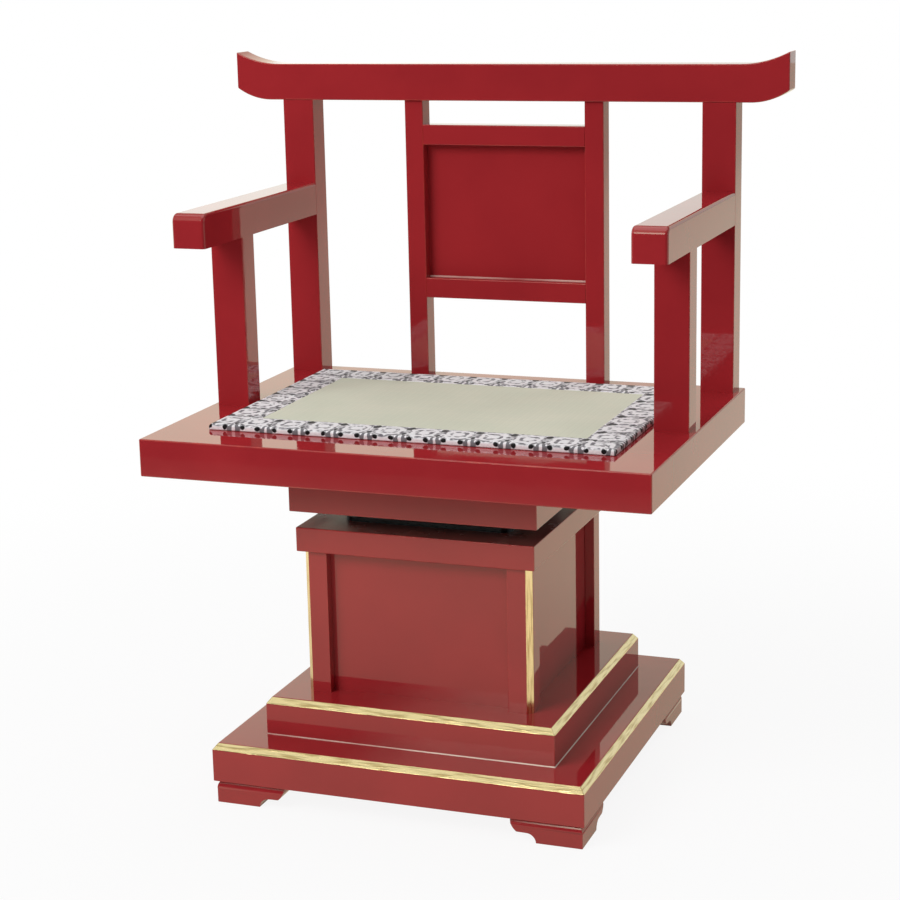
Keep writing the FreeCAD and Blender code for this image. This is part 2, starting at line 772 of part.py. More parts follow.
crest = new_body("crest_rail")
bottom_arc = level_arc("crest_bottom_sweep", "crest_rise")
top_arc = level_arc("crest_top_sweep", "crest_rise")
add(crest, "crest_bar", "Y", "back_middle - crest_depth / 2", "back_middle + crest_depth / 2", [
    ("-crest_end + crest_bottom_sweep", "crest_bottom"),
    ("crest_end - crest_bottom_sweep", "crest_bottom"),
    ("arc", bottom_arc),
    ("crest_end", "crest_bottom + crest_rise"),
    ("crest_end", "crest_top + crest_rise"),
    ("arc", f"-{top_arc}"),
    ("crest_end - crest_top_sweep", "crest_top"),
    ("-crest_end + crest_top_sweep", "crest_top"),
    ("arc", f"-{top_arc}"),
    ("-crest_end", "crest_top + crest_rise"),
    ("-crest_end", "crest_bottom + crest_rise"),
    ("arc", bottom_arc),
])
cut(crest, "crest_sockets", "Z", "crest_bottom", "crest_bottom + mortise_depth",
    *[post_tenon(sign, "back_middle", "post_depth", "tenon_play") for _, sign in SIDES],
    *[stile_tenon(sign, "tenon_play") for _, sign in SIDES])


# Back: two stiles, two rails tenoned between them, a panel in grooves

back_inner = "back_width / 2 - stile_width"
panel_near = "stile_front + back_panel_recess"
panel_far = f"{panel_near} + back_panel_thickness"
groove_low = "back_panel_bottom - back_groove"
groove_high = "back_panel_top + back_groove"
rail_tenon_trim = "(back_groove + tenon_end_gap)"


def rail_tenon(bottom, play):
    """Height range of a back rail's tenon, clear of the panel's groove."""
    low = f"{bottom} + {rail_tenon_trim} - {play}"
    high = f"{bottom} + back_rail_height - {rail_tenon_trim} + {play}"
    return low, high


BACK_RAILS = (
    ("panel_top_rail", "back_panel_top"),
    ("panel_bottom_rail", "(back_panel_bottom - back_rail_height)"),
)
tenon_near = "back_middle - back_tenon_thickness / 2"
tenon_far = "back_middle + back_tenon_thickness / 2"

for side, sign in SIDES:
    label = f"back_stile_{side}"
    stile = new_body(label)
    inner_face = f"{sign} * ({back_inner})"
    add(stile, label + "_shaft", "Z", "seat_top", "crest_bottom",
        rectangle(inner_face, f"{sign} * back_width / 2", "stile_front", "stile_front + stile_depth"))
    tenon = stile_tenon(sign, "0")
    add(stile, label + "_foot_tenon", "Z", "seat_top - tenon_length", "seat_top", tenon)
    add(stile, label + "_head_tenon", "Z", "crest_bottom", "crest_bottom + tenon_length", tenon)
    cut(stile, label + "_groove", "Z", groove_low, groove_high,
        rectangle(inner_face, f"{sign} * ({back_inner} + back_groove)", panel_near, panel_far))
    for rail_label, bottom in BACK_RAILS:
        low, high = rail_tenon(bottom, "tenon_play")
        cut(stile, f"{label}_{rail_label}_mortise", "Z", low, high,
            rectangle(inner_face, f"{sign} * ({back_inner} + mortise_depth)",
                      f"{tenon_near} - tenon_play", f"{tenon_far} + tenon_play"))

for label, bottom in BACK_RAILS:
    rail = new_body(label)
    add(rail, label + "_bar", "Z", bottom, f"{bottom} + back_rail_height",
        rectangle(f"-({back_inner})", back_inner, "stile_front", "stile_front + stile_depth"))
    low, high = rail_tenon(bottom, "0")
    add(rail, label + "_tenons", "Z", low, high,
        rectangle(f"-({back_inner} + tenon_length)", f"{back_inner} + tenon_length", tenon_near, tenon_far))
    above_panel = label == "panel_top_rail"
    groove = ("back_panel_top", groove_high) if above_panel else (groove_low, "back_panel_bottom")
    cut(rail, label + "_groove", "Z", *groove,
        rectangle(f"-({back_inner})", back_inner, panel_near, panel_far))

back_panel = new_body("back_panel")
add(back_panel, "back_panel_board", "Z", f"{groove_low} + groove_play", f"{groove_high} - groove_play",
    rectangle(f"-({back_inner} + back_groove - groove_play)", f"{back_inner} + back_groove - groove_play",
              panel_near, panel_far))


# Loose mat: a rush core, and a cloth border folded over each edge and mitred at the corners

mat_middle = "(mat_front_edge + mat_rear_edge) / 2"
mat = new_body("seat_mat")
add(mat, "mat_core", "Z", "seat_top", "mat_top - mat_cloth",
    rectangle("-mat_width / 2 + mat_cloth", "mat_width / 2 - mat_cloth",
              "mat_front_edge + mat_cloth", "mat_rear_edge - mat_cloth"))


def border_strip(label, length, width, quarters):
    """Border along the near edge of a mat of this length and width, then turned to its side."""
    body = new_body(label)
    edge = f"-{width} / 2"
    section = [
        (edge, "seat_top"),
        (f"{edge} + mat_cloth", "seat_top"),
        (f"{edge} + mat_cloth", "mat_top - mat_cloth"),
        (f"{edge} + mat_border", "mat_top - mat_cloth"),
        (f"{edge} + mat_border", "mat_top"),
        (f"{edge} + mat_edge_radius", "mat_top"),
        ("arc", "mat_edge_radius"),
        (edge, "mat_top - mat_edge_radius"),
    ]
    add(body, label + "_strip", "X", f"-{length} / 2", f"{length} / 2", section)
    mitres = [
        [(f"{sign} * {length} / 2", edge), (f"{sign} * {length} / 2", f"{edge} + mat_border"),
         (f"{sign} * ({length} / 2 - mat_border)", f"{edge} + mat_border")]
        for sign in (-1, 1)
    ]
    cut(body, label + "_mitres", "Z", "seat_top", "mat_top", *mitres)
    quarter_turn(body, quarters)
    bind(body, "Placement.Base.y", mat_middle)


BORDERS = (
    ("front", "mat_width", "mat_depth"), ("right", "mat_depth", "mat_width"),
    ("rear", "mat_width", "mat_depth"), ("left", "mat_depth", "mat_width"),
)
for quarters, (side, length, width) in enumerate(BORDERS):
    border_strip(f"mat_border_{side}", length, width, quarters)


# Every feature must have built, and each pad and pocket must have changed its body's volume the right way

doc.recompute()
for item in doc.Objects:
    if "Invalid" in item.State or "Error" in item.State:
        raise RuntimeError(f"{item.Label} did not build: {item.State}")
    base = getattr(item, "BaseFeature", None)
    if base is None or item.TypeId == "PartDesign::Body":
        continue
    change = item.Shape.Volume - base.Shape.Volume
    if item.TypeId == "PartDesign::Pad" and change <= 0:
        raise RuntimeError(f"{item.Label} adds nothing")
    if item.TypeId == "PartDesign::Pocket" and change >= 0:
        raise RuntimeError(f"{item.Label} cuts nothing")
for body in subparts:
    if body.Shape.isNull() or not body.Shape.isValid():
        raise RuntimeError(f"{body.Label} has no valid shape")

os.makedirs("parts", exist_ok=True)
for body in subparts:
    body.Shape.exportStep(f"parts/{body.Label}.step")
print(f"{len(subparts)} sub-parts written")
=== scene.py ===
"""Looks of the lacquered temple chair: skins, gilding, mat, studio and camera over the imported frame."""

import json
import logging
import math
from dataclasses import dataclass
from enum import Enum
from functools import cache, reduce
from typing import NamedTuple, Sequence

import bmesh
import bpy
from mathutils import Matrix, Vector

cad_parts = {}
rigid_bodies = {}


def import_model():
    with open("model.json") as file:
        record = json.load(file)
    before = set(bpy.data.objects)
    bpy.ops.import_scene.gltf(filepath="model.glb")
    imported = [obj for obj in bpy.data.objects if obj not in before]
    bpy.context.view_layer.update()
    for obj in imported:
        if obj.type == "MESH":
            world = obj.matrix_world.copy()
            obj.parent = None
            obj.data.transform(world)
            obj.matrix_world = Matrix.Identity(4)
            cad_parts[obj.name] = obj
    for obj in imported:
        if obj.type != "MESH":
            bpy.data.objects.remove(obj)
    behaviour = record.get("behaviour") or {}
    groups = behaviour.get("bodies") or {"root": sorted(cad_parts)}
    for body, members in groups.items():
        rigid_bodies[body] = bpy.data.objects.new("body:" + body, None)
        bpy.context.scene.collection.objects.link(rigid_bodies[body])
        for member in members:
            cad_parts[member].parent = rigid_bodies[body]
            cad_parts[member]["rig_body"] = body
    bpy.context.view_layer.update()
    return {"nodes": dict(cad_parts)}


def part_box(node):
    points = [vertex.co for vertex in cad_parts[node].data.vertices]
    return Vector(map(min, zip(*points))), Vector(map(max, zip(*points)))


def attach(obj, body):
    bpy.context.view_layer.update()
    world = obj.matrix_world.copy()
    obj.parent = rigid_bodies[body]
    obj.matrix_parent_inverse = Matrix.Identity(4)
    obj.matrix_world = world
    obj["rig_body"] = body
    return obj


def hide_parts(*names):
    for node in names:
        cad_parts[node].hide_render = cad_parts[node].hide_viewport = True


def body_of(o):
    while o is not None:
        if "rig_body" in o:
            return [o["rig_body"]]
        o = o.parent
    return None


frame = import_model()

log = logging.getLogger("temple_chair")

Colour = tuple[float, float, float, float]
Point = tuple[float, float, float]
Span = tuple[float, float]
Socket = bpy.types.NodeSocket

WHITE: Colour = (1.0, 1.0, 1.0, 1.0)


class Body(str, Enum):
    """The bodies of the chair that can move against each other."""

    BASE = "base"
    SEAT = "seat"
    ROLLERS = "roller_ring"


class Slot(str, Enum):
    """The finishes named in the chair's record."""

    LACQUER = "red_lacquer"
    STEEL = "bearing_steel"
    RUSH = "rush"
    CLOTH = "border_cloth"


class EdgeRule(Enum):
    """Which sharp edges of a piece the maker eases with a sanding block."""

    ALL = "all"
    ALONG_X = "along_x"
    ALONG_Z = "along_z"
    BELOW_TOP = "below_top"
    NONE = "none"


class Unseen(Enum):
    """The side of a piece, hidden between the swivel block and the pedestal cap, that gets a darker, browner
    coat as painted shade, with the sign of the way it faces.
    """

    TOP = 1
    UNDERSIDE = -1
    NONE = 0


class Side(Enum):
    """A side of the mat, with its quarter turns from the front."""

    FRONT = 0
    RIGHT = 1
    REAR = 2
    LEFT = 3

    def turn(self) -> Matrix:
        """The rotation that carries the front side to this one."""
        return Matrix.Rotation(self.value * math.pi / 2, 4, "Z")


class Slope(NamedTuple):
    """A smooth change: the values that it runs between, and the result at each of them."""

    low: float
    high: float
    start: float = 0.0
    end: float = 1.0


class Patches(NamedTuple):
    """Uneven patches: how many to a metre, their layers, and the noise at which the mask is 0 and 1."""

    scale: float
    detail: float
    low: float
    high: float


class Relief(NamedTuple):
    """A fine unevenness of a surface: how strongly it shows, and its depth."""

    strength: float
    depth: float


class Oval(NamedTuple):
    """An oval mark of the border's figure: its middle along and up the cloth, and half of its size."""

    along: float
    up: float
    wide: float
    high: float


class Softbox(NamedTuple):
    """A soft rectangular lamp, and whether the lacquer mirrors it."""

    name: str
    place: Point
    aim: Point
    size: Span
    watts: float
    mirrored: bool


class NodeBench:
    """Adds nodes to one tree and joins them."""

    def __init__(self, tree: bpy.types.NodeTree) -> None:
        """Keeps the tree that the nodes go into."""
        self.tree = tree

    @classmethod
    def cleared(cls, owner: bpy.types.Material | bpy.types.World) -> "NodeBench":
        """Clears the tree of a material or a world.

        Args:
            owner: The material or the world.

        Returns:
            The bench for its nodes.
        """
        owner.use_nodes = True
        owner.node_tree.nodes.clear()
        return cls(owner.node_tree)

    def feed(self, socket: Socket, value: object) -> None:
        """Links another node's socket to this one, or sets its plain value.

        Args:
            socket: The input.
            value: The other socket, or the value.
        """
        if isinstance(value, Socket):
            self.tree.links.new(value, socket)
        else:
            socket.default_value = value

    def add(self, kind: str, inputs: dict | None = None, **settings: object) -> bpy.types.Node:
        """Adds one node.

        Args:
            kind: The node's Blender type.
            inputs: Values or sockets for its inputs, by name or number.
            settings: Properties of the node itself.

        Returns:
            The new node.
        """
        node = self.tree.nodes.new(kind)
        for key, value in settings.items():
            setattr(node, key, value)
        for key, value in (inputs or {}).items():
            self.feed(node.inputs[key], value)
        return node

    def math(self, operation: str, *values: object) -> Socket:
        """The result of a Math node, by Blender's name for what it does."""
        return self.add("ShaderNodeMath", dict(enumerate(values)), operation=operation).outputs[0]

    def vector(self, operation: str, *values: object) -> bpy.types.Node:
        """A Vector Math node, by Blender's name for what it does."""
        return self.add("ShaderNodeVectorMath", dict(enumerate(values)), operation=operation)

    def times(self, *values: object) -> Socket:
        """The product of several values."""
        return reduce(lambda first, second: self.math("MULTIPLY", first, second), values)

    def most(self, *values: object) -> Socket:
        """The largest of several values."""
        return reduce(lambda first, second: self.math("MAXIMUM", first, second), values)

    def share(self, value: object, start: object, whole: object) -> Socket:
        """How far a value lies past a start, as a share of a whole."""
        return self.math("DIVIDE", self.math("SUBTRACT", value, start), whole)

    def axes(self, vector: Socket) -> list[Socket]:
        """The three parts of a vector."""
        return list(self.add("ShaderNodeSeparateXYZ", {0: vector}).outputs)

    def blend(self, factor: object, first: object, second: object, mode: str = "MIX") -> Socket:
        """Mixes two colours.

        Args:
            factor: How much of the second colour, from 0 to 1.
            first: The colour at 0.
            second: The colour at 1.
            mode: How the second goes onto the first, as Blender names it.

        Returns:
            The socket with the mixed colour.
        """
        inputs = {0: factor, 6: first, 7: second}
        return self.add("ShaderNodeMix", inputs, data_type="RGBA", blend_type=mode).outputs[2]

    def ramp(self, value: object, low: object, high: object, start: float = 0.0, end: float = 1.0) -> Socket:
        """Maps a value smoothly from one range to another.

        Args:
            value: The value to map.
            low: The value that gives start.
            high: The value that gives end.
            start: The result at low.
            end: The result at high.

        Returns:
            The socket with the result.
        """
        inputs = {"Value": value, "From Min": low, "From Max": high, "To Min": start, "To Max": end}
        return self.add("ShaderNodeMapRange", inputs, interpolation_type="SMOOTHSTEP").outputs[0]

    def group(self, tree: bpy.types.NodeTree, inputs: dict) -> Socket:
        """The result of a shared effect, placed with this material's own values."""
        return self.add("ShaderNodeGroup", inputs, node_tree=tree).outputs[0]


class SharedEffects:
    """Surface effects that several finishes of the chair use, each built once."""

    WEAR_DETAIL: float = 4.0
    WEAR_PATCHES: Slope = Slope(0.35, 0.7)

    @staticmethod
    def start(name: str, numbers: Sequence[str], output: str) -> tuple[NodeBench, dict, Socket]:
        """Starts a node group that works on a vector.

        Args:
            name: The group's name.
            numbers: The names of its number inputs.
            output: The name of its one number output.

        Returns:
            The bench for its nodes, its input sockets by name, and the socket for its result.
        """
        tree = bpy.data.node_groups.new(name, "ShaderNodeTree")
        tree.interface.new_socket(name="Vector", in_out="INPUT", socket_type="NodeSocketVector")
        for label in numbers:
            tree.interface.new_socket(name=label, in_out="INPUT", socket_type="NodeSocketFloat")
        tree.interface.new_socket(name=output, in_out="OUTPUT", socket_type="NodeSocketFloat")
        bench = NodeBench(tree)
        given = {s.name: s for s in bench.add("NodeGroupInput").outputs if s.name}
        return bench, given, bench.add("NodeGroupOutput").inputs[output]

    @staticmethod
    @cache
    def mottle() -> bpy.types.NodeTree:
        """Uneven patches: a smooth mask from layered noise.

        Returns:
            The group, with the inputs Vector, Scale, Detail, Low and High and the output Mask.
        """
        bench, given, out = SharedEffects.start("surface_mottle", ("Scale", "Detail", "Low", "High"), "Mask")
        noise = bench.add("ShaderNodeTexNoise", {key: given[key] for key in ("Vector", "Scale", "Detail")})
        bench.feed(out, bench.ramp(noise.outputs[0], given["Low"], given["High"]))
        return bench.tree

    @staticmethod
    @cache
    def edge_wear() -> bpy.types.NodeTree:
        """Rubbed edges: the eased edges of a piece, broken up by noise.

        Returns:
            The group, with the inputs Vector and Scale and the output Wear.
        """
        bench, given, out = SharedEffects.start("edge_wear", ("Scale",), "Wear")
        edge = bench.add("ShaderNodeAttribute", attribute_name="edge")
        noise = bench.add("ShaderNodeTexNoise", {**given, "Detail": SharedEffects.WEAR_DETAIL})
        patchy = bench.ramp(noise.outputs[0], *SharedEffects.WEAR_PATCHES)
        bench.feed(out, bench.times(edge.outputs["Fac"], patchy))
        return bench.tree

    @staticmethod
    @cache
    def weave() -> bpy.types.NodeTree:
        """Plain weave: threads that pass over and under each other.

        Returns:
            The group, with the inputs Vector, Across and Along in threads to a metre, and the output Height.
        """
        bench, given, out = SharedEffects.start("plain_weave", ("Across", "Along"), "Height")
        x, y = bench.axes(given["Vector"])[:2]
        across = bench.math("SINE", bench.times(x, given["Across"], math.pi))
        along = bench.math("SINE", bench.times(y, given["Along"], math.pi))
        bench.feed(out, bench.math("MULTIPLY_ADD", bench.times(across, along), 0.5, 0.5))
        return bench.tree


class Coat:
    """A material in the making: its bench, its main shader, and the place on the piece."""

    def __init__(self, name: str) -> None:
        """Starts an empty material.

        Args:
            name: The material's name.
        """
        self.made = bpy.data.materials.new(name)
        self.bench = NodeBench.cleared(self.made)
        self.shader = self.bench.add("ShaderNodeBsdfPrincipled")
        self.bench.add("ShaderNodeOutputMaterial", {"Surface": self.shader.outputs[0]})
        self.place = self.bench.add("ShaderNodeTexCoord").outputs["Object"]

    def give(self, inputs: dict[str, object]) -> None:
        """Feeds inputs of the main shader, by name."""
        for name, value in inputs.items():
            self.bench.feed(self.shader.inputs[name], value)

    def drawn(self, vector: Socket, scale: Point, turn: float = 0.0) -> Socket:
        """A vector that is turned about the upright and stretched or squeezed along its axes."""
        inputs = {"Vector": vector, "Rotation": (0.0, 0.0, turn), "Scale": scale}
        return self.bench.add("ShaderNodeMapping", inputs).outputs[0]

    def mottle(self, patches: Patches, vector: Socket | None = None) -> Socket:
        """Masks uneven patches.

        Args:
            patches: The patches.
            vector: Where they lie; the place on the piece if it isn't given.

        Returns:
            The socket with the mask.
        """
        inputs = {"Vector": self.place if vector is None else vector, "Scale": patches.scale}
        inputs |= {"Detail": patches.detail, "Low": patches.low, "High": patches.high}
        return self.bench.group(SharedEffects.mottle(), inputs)

    def wear(self, scale: float, share: float = 1.0) -> Socket:
        """A share of the mask of worn edges."""
        mask = self.bench.group(SharedEffects.edge_wear(), {"Vector": self.place, "Scale": scale})
        return self.bench.times(mask, share)

    def weave(self, vector: Socket, across: float, along: float) -> Socket:
        """The height of a plain weave whose threads lie the given distances apart."""
        inputs = {"Vector": vector, "Across": 1.0 / across, "Along": 1.0 / along}
        return self.bench.group(SharedEffects.weave(), inputs)

    def skin(self, colour: Socket, mask: Socket, rough: Span) -> None:
        """Sets the colour, and how rough it is where a mask is 0 and where it is 1."""
        self.give({"Base Color": colour, "Roughness": self.bench.ramp(mask, 0.0, 1.0, *rough)})

    def emboss(self, height: Socket, relief: Relief) -> None:
        """Raises the surface a little by a mask of heights."""
        inputs = {"Strength": relief.strength, "Distance": relief.depth, "Height": height}
        self.give({"Normal": self.bench.add("ShaderNodeBump", inputs).outputs[0]})


class Finish:
    """A surface finish that makes its own Blender material."""

    name: str

    def material(self) -> bpy.types.Material:
        """The finish's material, made the first time that it is asked for."""
        return bpy.data.materials.get(self.name) or self.make()

    def make(self) -> bpy.types.Material:
        """Makes the material.

        Returns:
            The material.
        """
        coat = Coat(self.name)
        self.paint(coat)
        return coat.made

    def paint(self, coat: Coat) -> None:
        """Paints the material in the making; each finish has its own way."""
        raise NotImplementedError


@dataclass(frozen=True)
class Lacquer(Finish):
    """Lacquer polished to a mirror, with a little unevenness, and lighter eased edges that are partly wear
    and partly a painted highlight.
    """

    name: str = "vermilion_lacquer"
    deep: Colour = (0.353, 0.0203, 0.0262, 1.0)
    bright: Colour = (0.405, 0.024, 0.0298, 1.0)
    # Colour of the eased edges: partly wear, partly a painted highlight along them.
    rubbed: Colour = (0.52, 0.055, 0.04, 1.0)
    mirror: float = 0.03
    haze: float = 0.075
    tone: Patches = Patches(7.0, 3.0, 0.3, 0.7)
    wipe: Patches = Patches(26.0, 5.0, 0.35, 0.8)
    wear_scale: float = 55.0
    wear_share: float = 0.6
    ripple_scale: float = 45.0
    ripple: Relief = Relief(0.05, 0.0006)
    refraction: float = 1.6

    def paint(self, coat: Coat) -> None:
        """Paints the lacquer.

        Args:
            coat: The material in the making.
        """
        bench = coat.bench
        body = bench.blend(coat.mottle(self.tone), self.deep, self.bright)
        # Eased edges turn lighter and more orange: partly wear, partly a painted highlight.
        worn = bench.blend(coat.wear(self.wear_scale, self.wear_share), body, self.rubbed)
        coat.skin(worn, coat.mottle(self.wipe), (self.mirror, self.haze))
        noise = {"Vector": coat.place, "Scale": self.ripple_scale, "Detail": 1.0}
        coat.emboss(bench.add("ShaderNodeTexNoise", noise).outputs[0], self.ripple)
        coat.give({"IOR": self.refraction})


@dataclass(frozen=True)
class GoldLeaf(Finish):
    """Gold leaf laid on the chamfers, with lap marks and a little red where an edge is worn through."""

    name: str = "gold_leaf"
    pale: Colour = (0.93, 0.77, 0.485, 1.0)
    deep: Colour = (0.60, 0.445, 0.235, 1.0)
    bole: Colour = (0.50, 0.22, 0.08, 1.0)
    lap: Patches = Patches(300.0, 1.0, 0.42, 0.72)
    lap_stretch: Point = (0.09, 1.0, 1.0)
    lap_relief: Relief = Relief(0.4, 0.0004)
    speck: Patches = Patches(160.0, 3.0, 0.3, 0.8)
    rough: Span = (0.17, 0.25)
    wear_scale: float = 130.0
    wear_share: float = 0.3

    def paint(self, coat: Coat) -> None:
        """Lays the leaf. Its UV map is in metres, along and across the gilded band.

        Args:
            coat: The material in the making.
        """
        bench = coat.bench
        band = bench.add("ShaderNodeUVMap", uv_map="band").outputs[0]
        lap = coat.mottle(self.lap, coat.drawn(band, self.lap_stretch))
        leaf = bench.blend(lap, self.pale, self.deep)
        worn = bench.blend(coat.wear(self.wear_scale, self.wear_share), leaf, self.bole)
        coat.skin(worn, coat.mottle(self.speck), self.rough)
        coat.emboss(lap, self.lap_relief)
        coat.give({"Metallic": 1.0})


@dataclass(frozen=True)
class Steel(Finish):
    """Machine steel, blacked or bright, with a ground grain and scuffed edges."""

    name: str = "blacked_steel"
    face: Colour = (0.055, 0.06, 0.072, 1.0)
    streak: Colour = (0.10, 0.11, 0.13, 1.0)
    scuff: Colour = (0.55, 0.56, 0.60, 1.0)
    rough: Span = (0.26, 0.44)
    grain: Patches = Patches(90.0, 3.0, 0.3, 0.7)
    grain_squeeze: Point = (1.0, 14.0, 14.0)
    wear_scale: float = 90.0

    def paint(self, coat: Coat) -> None:
        """Grinds the steel.

        Args:
            coat: The material in the making.
        """
        bench = coat.bench
        grain = coat.mottle(self.grain, coat.drawn(coat.place, self.grain_squeeze))
        ground = bench.blend(grain, self.face, self.streak)
        coat.skin(bench.blend(coat.wear(self.wear_scale), ground, self.scuff), grain, self.rough)
        coat.give({"Metallic": 1.0})


@dataclass(frozen=True)
class Rush(Finish):
    """Dried rush: pale grey-green stalks with a straw tint, laid side by side."""

    name: str = "woven_rush"
    green: Colour = (0.68, 0.72, 0.585, 1.0)
    straw: Colour = (0.75, 0.76, 0.625, 1.0)
    # Colour that the weave's valleys turn toward: painted shade between the stalks.
    gap: Colour = (0.54, 0.55, 0.43, 1.0)
    stalk: float = 0.0015
    row: float = 0.005
    tones: Patches = Patches(1.0 / 0.003, 2.0, 0.3, 0.7)
    tone_stretch: Point = (0.02, 1.0, 0.0)
    cloud: Patches = Patches(14.0, 3.0, 0.35, 0.7)
    dip: Slope = Slope(0.5, 0.05, 0.0, 0.25)
    rough: Span = (0.62, 0.8)
    relief: Relief = Relief(0.3, 0.0003)
    shine: float = 0.25

    def paint(self, coat: Coat) -> None:
        """Lays the stalks.

        Args:
            coat: The material in the making.
        """
        bench = coat.bench
        tones = coat.mottle(self.tones, coat.drawn(coat.place, self.tone_stretch))
        tint = bench.times(bench.math("ADD", coat.mottle(self.cloud), tones), 0.5)
        body = bench.blend(tint, self.green, self.straw)
        weave = coat.weave(coat.place, self.row, self.stalk)
        # Where the weave dips, the colour goes darker: painted shade in the valleys between stalks.
        coat.skin(bench.blend(bench.ramp(weave, *self.dip), body, self.gap), tones, self.rough)
        coat.emboss(weave, self.relief)
        coat.give({"Specular IOR Level": self.shine})


@dataclass(frozen=True)
class BorderCloth(Finish):
    """Woven mat border in a traditional figure: white lobes, with a grey bud and black dots between them."""

    name: str = "woven_border"
    white: Colour = (0.95, 0.945, 0.96, 1.0)
    lilac: Colour = (0.40, 0.38, 0.44, 1.0)
    slate: Colour = (0.12, 0.115, 0.135, 1.0)
    grey: Colour = (0.20, 0.20, 0.215, 1.0)
    black: Colour = (0.006, 0.006, 0.008, 1.0)
    # Marks between two lobes.
    pitch: float = 0.0411
    bud_place: float = 0.0345
    bud: Oval = Oval(0.0, 0.004, 0.0085, 0.0095)
    vein: Oval = Oval(0.0, 0.003, 0.0018, 0.0085)
    petal: Oval = Oval(0.0062, 0.009, 0.0016, 0.004)
    dot: Oval = Oval(0.0108, 0.0044, 0.0030, 0.0029)
    tip: Oval = Oval(0.0, 0.0175, 0.0024, 0.0045)
    stem: Oval = Oval(0.0, 0.030, 0.0020, 0.012)
    hem: Oval = Oval(0.0, 0.0428, 0.0046, 0.0066)
    oval_edge: Slope = Slope(1.12, 0.88)
    # Lines that draw the lobes.
    lobe_middle: float = 0.029
    lobe_reach: float = 0.0255
    lobe_power: float = 3.0
    line_inside: Slope = Slope(0.32, 0.46)
    line_outside: Slope = Slope(0.90, 0.68)
    core_inside: Slope = Slope(0.015, 0.04)
    core_outside: Slope = Slope(0.16, 0.11)
    breaks: Patches = Patches(150.0, 1.0, 0.38, 0.58)
    line_share: float = 0.95
    stem_share: float = 0.45
    # The cloth itself, and how far its figure strays.
    wander_scale: float = 95.0
    wander: float = 0.0045
    threads: Span = (0.0007, 0.0006)
    fuzz: Patches = Patches(500.0, 2.0, 0.3, 0.75)
    fuzz_share: float = 0.16
    rough: Span = (0.6, 0.85)
    relief: Relief = Relief(0.4, 0.0003)
    shine: float = 0.25
    sheen: float = 0.15

    def mark(self, bench: NodeBench, spot: tuple[Socket, Socket], oval: Oval) -> Socket:
        """Masks one oval mark of the figure.

        Args:
            bench: The material's bench.
            spot: The distance from the bud's middle, and the distance up the cloth.
            oval: The mark.

        Returns:
            The socket with the mask.
        """
        across = bench.share(spot[0], oval.along, oval.wide)
        upward = bench.share(spot[1], oval.up, oval.high)
        square = bench.math("ADD", bench.times(across, across), bench.times(upward, upward))
        return bench.ramp(bench.math("SQRT", square), *self.oval_edge)

    def scroll(self, coat: Coat, cloth: Socket, apart: Socket) -> Socket:
        """Masks the broken lines that draw the lobes.

        Args:
            coat: The material in the making.
            cloth: The place along and up the cloth.
            apart: The distance from the nearest bud, as a share of the pitch.

        Returns:
            The socket with the mask.
        """
        bench = coat.bench
        upward = bench.math("ABSOLUTE", bench.share(bench.axes(cloth)[1], self.lobe_middle, self.lobe_reach))
        sideways = bench.math("SUBTRACT", 1.0, bench.times(apart, 2.0))
        lobe = bench.math("ADD", *(bench.math("POWER", way, self.lobe_power) for way in (sideways, upward)))
        line = bench.times(bench.ramp(lobe, *self.line_inside), bench.ramp(lobe, *self.line_outside))
        core = bench.times(bench.ramp(lobe, *self.core_inside), bench.ramp(lobe, *self.core_outside))
        return bench.times(bench.most(line, core), coat.mottle(self.breaks, cloth))

    def paint(self, coat: Coat) -> None:
        """Weaves the cloth. Its UV map is in metres, along and across the strip.

        Args:
            coat: The material in the making.
        """
        bench = coat.bench
        flat = bench.add("ShaderNodeUVMap", uv_map="strip").outputs[0]
        noise = bench.add("ShaderNodeTexNoise", {"Vector": flat, "Scale": self.wander_scale, "Detail": 1.0})
        drift = bench.vector("SUBTRACT", noise.outputs["Color"], (0.5, 0.5, 0.5)).outputs[0]
        shift = bench.vector("MULTIPLY", drift, (self.wander, self.wander, self.wander)).outputs[0]
        cloth = bench.vector("ADD", flat, shift).outputs[0]
        along, up = bench.axes(cloth)[:2]
        turn = bench.math("FRACT", bench.math("ADD", bench.share(along, self.bud_place, self.pitch), 0.5))
        apart = bench.math("ABSOLUTE", bench.math("SUBTRACT", turn, 0.5))
        spot = (bench.times(apart, self.pitch), up)
        ovals = (self.bud, self.vein, self.petal, self.dot, self.tip, self.stem, self.hem)
        bud, vein, petal, dot, tip, stem, hem = (self.mark(bench, spot, oval) for oval in ovals)
        lines = bench.times(self.scroll(coat, cloth, apart), self.line_share)
        ground = bench.blend(lines, self.white, self.slate)
        filled = bench.times(bud, bench.math("SUBTRACT", 1.0, bench.most(vein, petal)))
        buds = bench.blend(filled, ground, self.grey)
        stems = bench.blend(bench.times(stem, self.stem_share), buds, self.grey)
        figure = bench.blend(bench.most(dot, tip, hem), stems, self.black)
        fuzz = coat.mottle(self.fuzz)
        shaded = bench.blend(bench.times(fuzz, self.fuzz_share), figure, self.lilac, "MULTIPLY")
        coat.skin(shaded, fuzz, self.rough)
        coat.emboss(coat.weave(flat, *self.threads), self.relief)
        coat.give({"Specular IOR Level": self.shine, "Sheen Weight": self.sheen})


@dataclass(frozen=True)
class Thread(Finish):
    """White cotton thread of the border's seam."""

    name: str = "cotton_thread"
    light: Colour = (0.78, 0.76, 0.80, 1.0)
    dark: Colour = (0.50, 0.49, 0.54, 1.0)
    ply: Patches = Patches(1500.0, 1.0, 0.35, 0.65)
    ply_stretch: Point = (1.0, 0.3, 1.0)
    twist: float = 0.8
    rough: Span = (0.6, 0.85)

    def paint(self, coat: Coat) -> None:
        """Twists the thread."""
        ply = coat.mottle(self.ply, coat.drawn(coat.place, self.ply_stretch, self.twist))
        coat.skin(coat.bench.blend(ply, self.light, self.dark), ply, self.rough)


